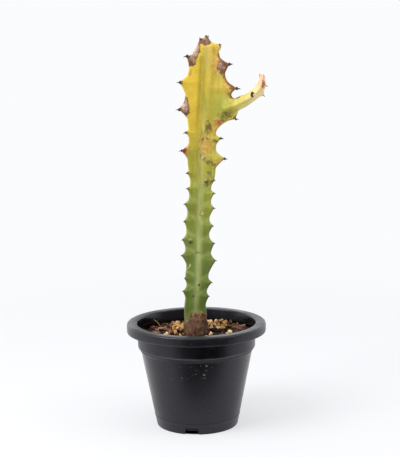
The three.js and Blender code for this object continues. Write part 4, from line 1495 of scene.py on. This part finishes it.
SCABS = [
    (-9.8, 297, 3.6, 4.2), (5.7, 252.6, 2.6, 3.6), (8.4, 231.4, 1.5, 2), (6.4, 227.6, 1.2, 1.1),
    (4.7, 200.2, 2.3, 3.3), (-6.2, 151.4, 1.3, 2.6), (-7.4, 149.6, 1.5, 1.3), (-8.9, 147.9, 1.5, 1.2),
    (-6.4, 176, 3.3, 1.5),
]


def oval(x, z, width, tall):
    """How deep each point lies in an oval, seen from the front: 0 outside and 1 in its middle."""
    return np.clip(1 - ((points[:, 0] - x) / width) ** 2 - ((height - z) / tall) ** 2, 0, 1)


def scars(rows, both_sides=False, extra=0, seed=0):
    """How deep each point lies in the nearest scar of a kind. Extra ones lie on the sides and the back."""
    depth = np.zeros(len(points))
    front = 1.0 if both_sides else (1 - smooth(away, 0.5, 3))
    for row in rows:
        depth = np.maximum(depth, oval(*row) * front)
    draw = seeded(seed).__next__
    for _ in range(extra):
        turn, z, size = math.radians(-10 + 200 * draw()), 125 + 220 * draw(), 1.5 + 3 * draw()
        centre = np.array([float(along(CORE_LINE, z)[0]) + 7 * math.cos(turn), 7 * math.sin(turn), z])
        depth = np.maximum(depth, np.clip(1 - (np.linalg.norm(points - centre, axis=1) / size) ** 2, 0, 1))
    return depth


cork_top = 107.5 - 8 * (1 - smooth(right, -8, -4)) * (away < 4) - 3 * smooth(right, 7, 10)
above_bark = smooth(height, 95, 100) * (1 - smooth(height, 103, 110))
left_heart = smooth(-right, 0.5, 3) * np.exp(-(((height - 205) / 14) ** 2))
head_edge = smooth(wing, 0.86, 0.95) * smooth(height, 300, 308) * (1 - smooth(height, 342, 348))

masks = {
    "band": band,
    "arm": arm_share,
    "crease_shade": crease_shade,
    "tip": tip_near,
    "singed": singed,
    "shoulder": pale_shoulder,
    "golden": np.maximum(smooth(-right, 1.5, 6) * smooth(height, 250, 300), 0.3 * smooth(height, 342, 350)),
    "green": oval(20, 296, 19, 19) * (right > -2),
    # painted shade on the lower right wing, plus a darker green patch on the left near 205 mm
    "right_shade_and_dark_green": smooth(right, 2, 6) * (1 - smooth(height, 175, 205)) + 0.7 * left_heart,
    "cork": np.clip(0.35 + (cork_top - height) / 9, 0, 1),
    "weathered": smooth(-right, 6, 10) * (away < 4) * above_bark,
    "edge": head_edge * (right > 0) * (points[:, 0] < 34),
    "dead": scars(DEAD, both_sides=True),
    "rust": scars(RUST, extra=9, seed=2),
    "red": scars(RED, both_sides=True),
    "maroon": scars(MAROON, both_sides=True),
    "pit": scars(PITS),
    "dark": scars(DARK, extra=14, seed=3),
    "scab": scars(SCABS, extra=12, seed=4),
}
for name, values in masks.items():
    set_mask(stem, name, values)
print("scars and places stored:", ", ".join(masks))

# %% [markdown]
# ## Relief of the skin
#
# Bark at the foot is cracked and rough by half a millimetre, dead tissue is sunken and papery, and a scab
# stands proud. A visible form should be in the mesh and not only in the shading, so the points are moved
# along their normals by noise, more where those places are.

# %% Roughen the skin
def skin_push(point, cork, dead, scab):
    at = Vector(point)
    long_grain = Vector((at.x, at.y, at.z * 0.4))
    fine = 0.05 * noise.noise(at * 0.8)
    bark = cork * (0.45 * noise.noise(long_grain * 0.6) + 0.16 * noise.noise(at * 2.2))
    papery = dead * (0.3 * noise.noise(at * 0.9) - 0.15)
    return fine + bark + papery + scab * (0.25 + 0.2 * noise.noise(at * 1.6))


pushes = [skin_push(*row) for row in zip(points, masks["cork"], masks["dead"], masks["scab"])]
normals = np.array([v.normal for v in stem.data.vertices])
above_mix = smooth(height, 80, 86)
points = points + normals * (np.array(pushes) * above_mix)[:, None]

lean = math.radians(LEAN_DEG)


def leaned(place):
    """Leans the whole plant to the right, about its foot."""
    place = np.asarray(place, float) - [0, 0, STEM_FOOT]
    turn = np.array([(math.cos(lean), 0, math.sin(lean)), (0, 1, 0), (-math.sin(lean), 0, math.cos(lean))])
    return place @ turn.T + [0, 0, STEM_FOOT]


stem.data.vertices.foreach_set("co", (leaned(points) * MM).ravel())
stem.data.polygons.foreach_set("use_smooth", [True] * len(stem.data.polygons))
stem.data.update()
print("the skin moved by at most", round(max(map(abs, pushes)), 2), "mm")

# %% [markdown]
# ## Living skin
#
# The stem runs from deep green at the foot over yellow-green to gold in the head, where sun and age have
# taken the green out. A height ramp gives that, with a second ramp for the pale band in the middle of each
# face. Veins, the places that differ and the arm go over it, then a tint that isn't even, and flecks. The
# scars follow, one kind after another, and the bark at the foot comes last. The skin is waxy and lets a
# little light in, so it has some subsurface.

# %% Skin finish
# in metres: the height where the ramps of the living skin start, and how far they reach up
LIVING_FROM = 0.1
LIVING_SPAN = 0.26

skin, tree, shader = new_finish("euphorbia_skin")
ways = node(tree, "ShaderNodeSeparateXYZ", {0: stretched(tree)}).outputs
drift_up = maths(tree, "MULTIPLY_ADD", cloud(tree, stretched(tree), 30.0), 0.03, -0.015)
level = maths(tree, "SUBTRACT", maths(tree, "ADD", ways[2], drift_up), LIVING_FROM)
level = maths(tree, "DIVIDE", level, LIVING_SPAN)
wings = ramp(tree, level, [
    (0.0, hue(98, 124, 46)), (0.2, hue(112, 132, 54)), (0.4, hue(143, 151, 52)),
    (0.58, hue(176, 167, 54)), (0.75, hue(196, 172, 56)), (1.0, hue(206, 176, 80)),
])
bands = ramp(tree, level, [
    (0.0, hue(142, 152, 92)), (0.2, hue(184, 194, 126)), (0.4, hue(174, 180, 108)),
    (0.58, hue(188, 174, 96)), (0.72, hue(208, 188, 96)), (0.85, hue(202, 180, 60)),
    (1.0, hue(210, 192, 112)),
])
colour = masked(tree, "band", 0.85, wings, bands)
veins = remap(tree, relief(tree, 420.0, 7.0), 0.42, 0.72, 0.0, 0.35)
colour = mixed(tree, veins, colour, hue(118, 124, 44))
colour = masked(tree, "shoulder", 0.38, colour, hue(184, 190, 114))
colour = masked(tree, "golden", 0.8, colour, hue(238, 202, 62))
colour = masked(tree, "green", 0.8, colour, hue(150, 153, 54))
# painted shade on the lower right wing, and a darker green on the left
colour = masked(tree, "right_shade_and_dark_green", 0.3, colour, hue(82, 94, 38))
# painted shade in the grooves of the head
colour = masked(tree, "crease_shade", 0.75, colour, hue(168, 148, 36))
arm_colour = ramp(tree, mask(tree, "arm"), [
    (0.0, hue(180, 174, 76)), (0.3, hue(208, 194, 96)), (0.62, hue(228, 206, 142)),
    (1.0, hue(228, 184, 152)),
])
colour = mixed(tree, remap(tree, mask(tree, "arm"), 0.02, 0.25), colour, arm_colour)
colour = tinted(tree, colour, 0.14, 130.0)
colour = tinted(tree, colour, 0.12, 700.0)
flecks = maths(tree, "MULTIPLY", specks(tree, 650.0, 0.05, 0.3), 0.35)
colour = mixed(tree, flecks, colour, hue(96, 92, 40))
print("skin: living colours laid")

# %% Scar colours
stained = maths(tree, "ADD", mask(tree, "singed"), 0.15)
stained = maths(tree, "MULTIPLY_ADD", relief(tree, 210.0), 0.7, stained)
papery = ramp(tree, stained, [
    (0.4, hue(200, 172, 148)), (0.56, hue(168, 134, 114)), (0.7, hue(112, 76, 68)), (0.95, hue(70, 48, 46)),
])
LAYERS = [
    # mask, raggedness, lumps per metre, softness, colour inside, colour of the rim, strength
    ("rust", 1.6, 420.0, 0.5, hue(208, 154, 94), hue(192, 152, 68), 0.66),
    ("dark", 2.6, 480.0, 0.5, hue(84, 74, 40), hue(126, 116, 54), 0.8),
    ("red", 1.6, 500.0, 0.35, hue(138, 62, 40), hue(182, 110, 62), 0.85),
    ("maroon", 0.5, 600.0, 0.3, hue(72, 29, 28), hue(140, 70, 46), 0.92),
    ("pit", 0.8, 900.0, 0.2, hue(72, 68, 46), hue(112, 106, 62), 0.85),
    ("scab", 3.0, 1000.0, 0.15, hue(200, 187, 130), hue(122, 100, 58), 0.7),
    ("dead", 1.0, 420.0, 0.22, papery, hue(122, 80, 60), 0.95),
    ("edge", 2.5, 600.0, 0.4, hue(118, 70, 44), hue(150, 98, 56), 0.75),
    ("tip", 1.0, 800.0, 0.3, hue(86, 64, 56), hue(150, 118, 74), 0.85),
]
dry = 0.0
for name, raggedness, lumps, soft, inside, rim, strength in LAYERS:
    patch = ragged(tree, name, raggedness, lumps, soft)
    paint = tinted(tree, mixed(tree, patch["Rim"], inside, rim), 0.6, 380.0)
    colour = mixed(tree, maths(tree, "MULTIPLY", patch["Patch"], strength), colour, paint)
    dry = maths(tree, "MAXIMUM", dry, patch["Patch"])
print("skin:", len(LAYERS), "layers laid over the living colours")

# %% Bark at the foot
barked = ragged(tree, "cork", 1.4, 300.0)
cracks = relief(tree, 420.0, 1.8)
cork = ramp(tree, cracks, [
    (0.3, hue(54, 36, 25)), (0.45, hue(84, 57, 39)), (0.6, hue(112, 79, 54)), (0.76, hue(164, 126, 90)),
])
blush = remap(tree, cloud(tree, stretched(tree), 110.0), 0.5, 0.62, 0.0, 0.45)
cork = tinted(tree, mixed(tree, blush, cork, hue(112, 72, 64)), 0.45, 150.0)
cork = mixed(tree, maths(tree, "MULTIPLY", barked["Rim"], 0.7), cork, hue(168, 134, 92))
colour = mixed(tree, barked["Patch"], colour, cork)
colour = masked(tree, "weathered", 0.7, colour, hue(146, 140, 98))
dry = maths(tree, "MAXIMUM", dry, barked["Patch"])
tree.links.new(colour, shader["Base Color"])
tree.links.new(remap(tree, dry, 0.0, 1.0, 0.42, 0.85), shader["Roughness"])
print("skin: bark laid over the foot")

# %% Skin relief and light
pores = relief(tree, 1400.0, 1.6)
rough_part = maths(tree, "MULTIPLY", maths(tree, "MULTIPLY", cracks, dry), 2.2)
bump(tree, shader, maths(tree, "ADD", pores, rough_part), 0.00028)
shader["Subsurface Weight"].default_value = 0.12
shader["Subsurface Radius"].default_value = (1.0, 0.8, 0.3)
shader["Subsurface Scale"].default_value = 0.002
shader["Specular IOR Level"].default_value = 0.4
dressed(stem, skin, "stem_skin", "stem")

# %% [markdown]
# ## Spines
#
# Each tooth ends in a small horny shield that carries two short spines. They are dark brown at the foot and
# grey at the point. A spine is a thin cone that bends a little. A shield is a flattened bead that runs down
# the crest of the tooth. They are separate from the skin in colour and gloss, but sit in it without a gap.

# %% Spine shapes
SPINE_SPREAD_DEG = 24


def spine(foot, way, length, radius):
    """A slim cone from its foot along a way, bending slightly down."""
    way = np.asarray(way, float) / np.linalg.norm(way)
    share = np.linspace(0, 1, 9)
    line = foot + way * (share * length)[:, None] + np.array([0, 0, -0.35]) * (share**2)[:, None]
    return swept(line, radius * (1 - share) ** 0.8 + 0.05, sides=8)


def shield(place, turn, size, seed, proud=1.0):
    """A flattened bead on a tooth's crest, longer downwards, that stands proud by a share of its width."""
    points, faces = PEA
    shape = noisy(points, 0.25, 1.5, seed) * [proud, 1.15, 1.5] * size
    shape[:, 2] -= 0.25 * size
    return turned_about(shape, (0, 0, turn)) + place, faces


bodies, colour_runs = [], []


def add_body(body, runs):
    """Keeps a body. Its colour runs from foot to point if runs is 1, and stays the foot's if it is 0."""
    bodies.append(body)
    colour_runs.append(runs)


draw = seeded(17).__next__
for number, (degrees, teeth) in enumerate(RIBS):
    turn = math.radians(degrees)
    outward = np.array([math.cos(turn), math.sin(turn), 0])
    for tooth_height, _, upper, _ in teeth:
        vigour = 0.4 + 0.6 * float(smooth(tooth_height, 190, 300)) + 0.15 * draw()
        vigour *= 0.55 if tooth_height > 350 else 1.0
        vigour *= 0.6 + 0.4 * min(1.0, upper / 7) if tooth_height < 300 else 1.0
        at = np.array(tooth_tip(number, tooth_height))
        add_body(shield(at - 0.75 * outward, turn, 0.9 * vigour + 0.15, len(bodies)), 0.0)
        for side in (-1, 1):
            way = turn + side * math.radians(SPINE_SPREAD_DEG) * (0.8 + 0.4 * draw())
            aim = (math.cos(way), math.sin(way), -0.12 + 0.3 * (draw() - 0.5))
            add_body(spine(at - 0.9 * outward, aim, 3.3 * vigour + 0.6, 0.36 + 0.34 * vigour), 1.0)
print(len(bodies), "shields and spines on the ribs")

# %% Spines of the arm and the top
# place of the foot along X, along Y and in height, then the way that the spine points
TOP_SPINES = [
    (3.4, -2.5, 357.6, -0.15, 0, 1), (10.3, 0.5, 359.4, 0.3, 0, 1), (6, 4, 357, 0, 0.6, 1),
]
for share, degrees, _, arm_lean in ARM_TEETH:
    at_share, turn = np.array([share]), np.array([math.radians(degrees)])
    at_front = share < 0.6
    foot = arm_points(at_share, turn, 0.0 if at_front else 0.4)[0]
    add_body(shield(foot, math.radians(-90), 1.6 if at_front else 0.7, len(bodies), 0.3), 0.0)
    for side in (-1, 1):
        way = arm_outward(at_share, turn + side * math.radians(SPINE_SPREAD_DEG))[0]
        way = way + arm_way(at_share)[0] * arm_lean
        add_body(spine(foot, way, 1.2 if at_front else 2.6, 0.42), 1.0)
for x, y, z, *way in TOP_SPINES:
    add_body(shield(np.array([x, y, z - 0.3]), 0, 0.8, len(bodies)), 0.0)
    add_body(spine(np.array([x, y, z - 0.8]), way, 3.2, 0.5), 1.0)

spine_points, spine_faces = gathered([(leaned(body[0]), body[1]) for body in bodies])
spines = make_piece("spines", spine_points, spine_faces)
shares = [runs * np.linspace(0, 1, len(body[0])) for body, runs in zip(bodies, colour_runs)]
set_mask(spines, "point", np.concatenate(shares))
print(len(bodies), "bodies in the spines")

# %% Horn finish
horn, tree, shader = new_finish("spine_horn")
foot_to_point = [(0.0, hue(58, 42, 38)), (0.5, hue(74, 60, 56)), (1.0, hue(136, 126, 122))]
brown = ramp(tree, mask(tree, "point"), foot_to_point)
tree.links.new(tinted(tree, brown, 0.4, 900.0), shader["Base Color"])
shader["Roughness"].default_value = 0.6
bump(tree, shader, relief(tree, 2600.0), 0.0001)
dressed(spines, horn, "stem_skin")
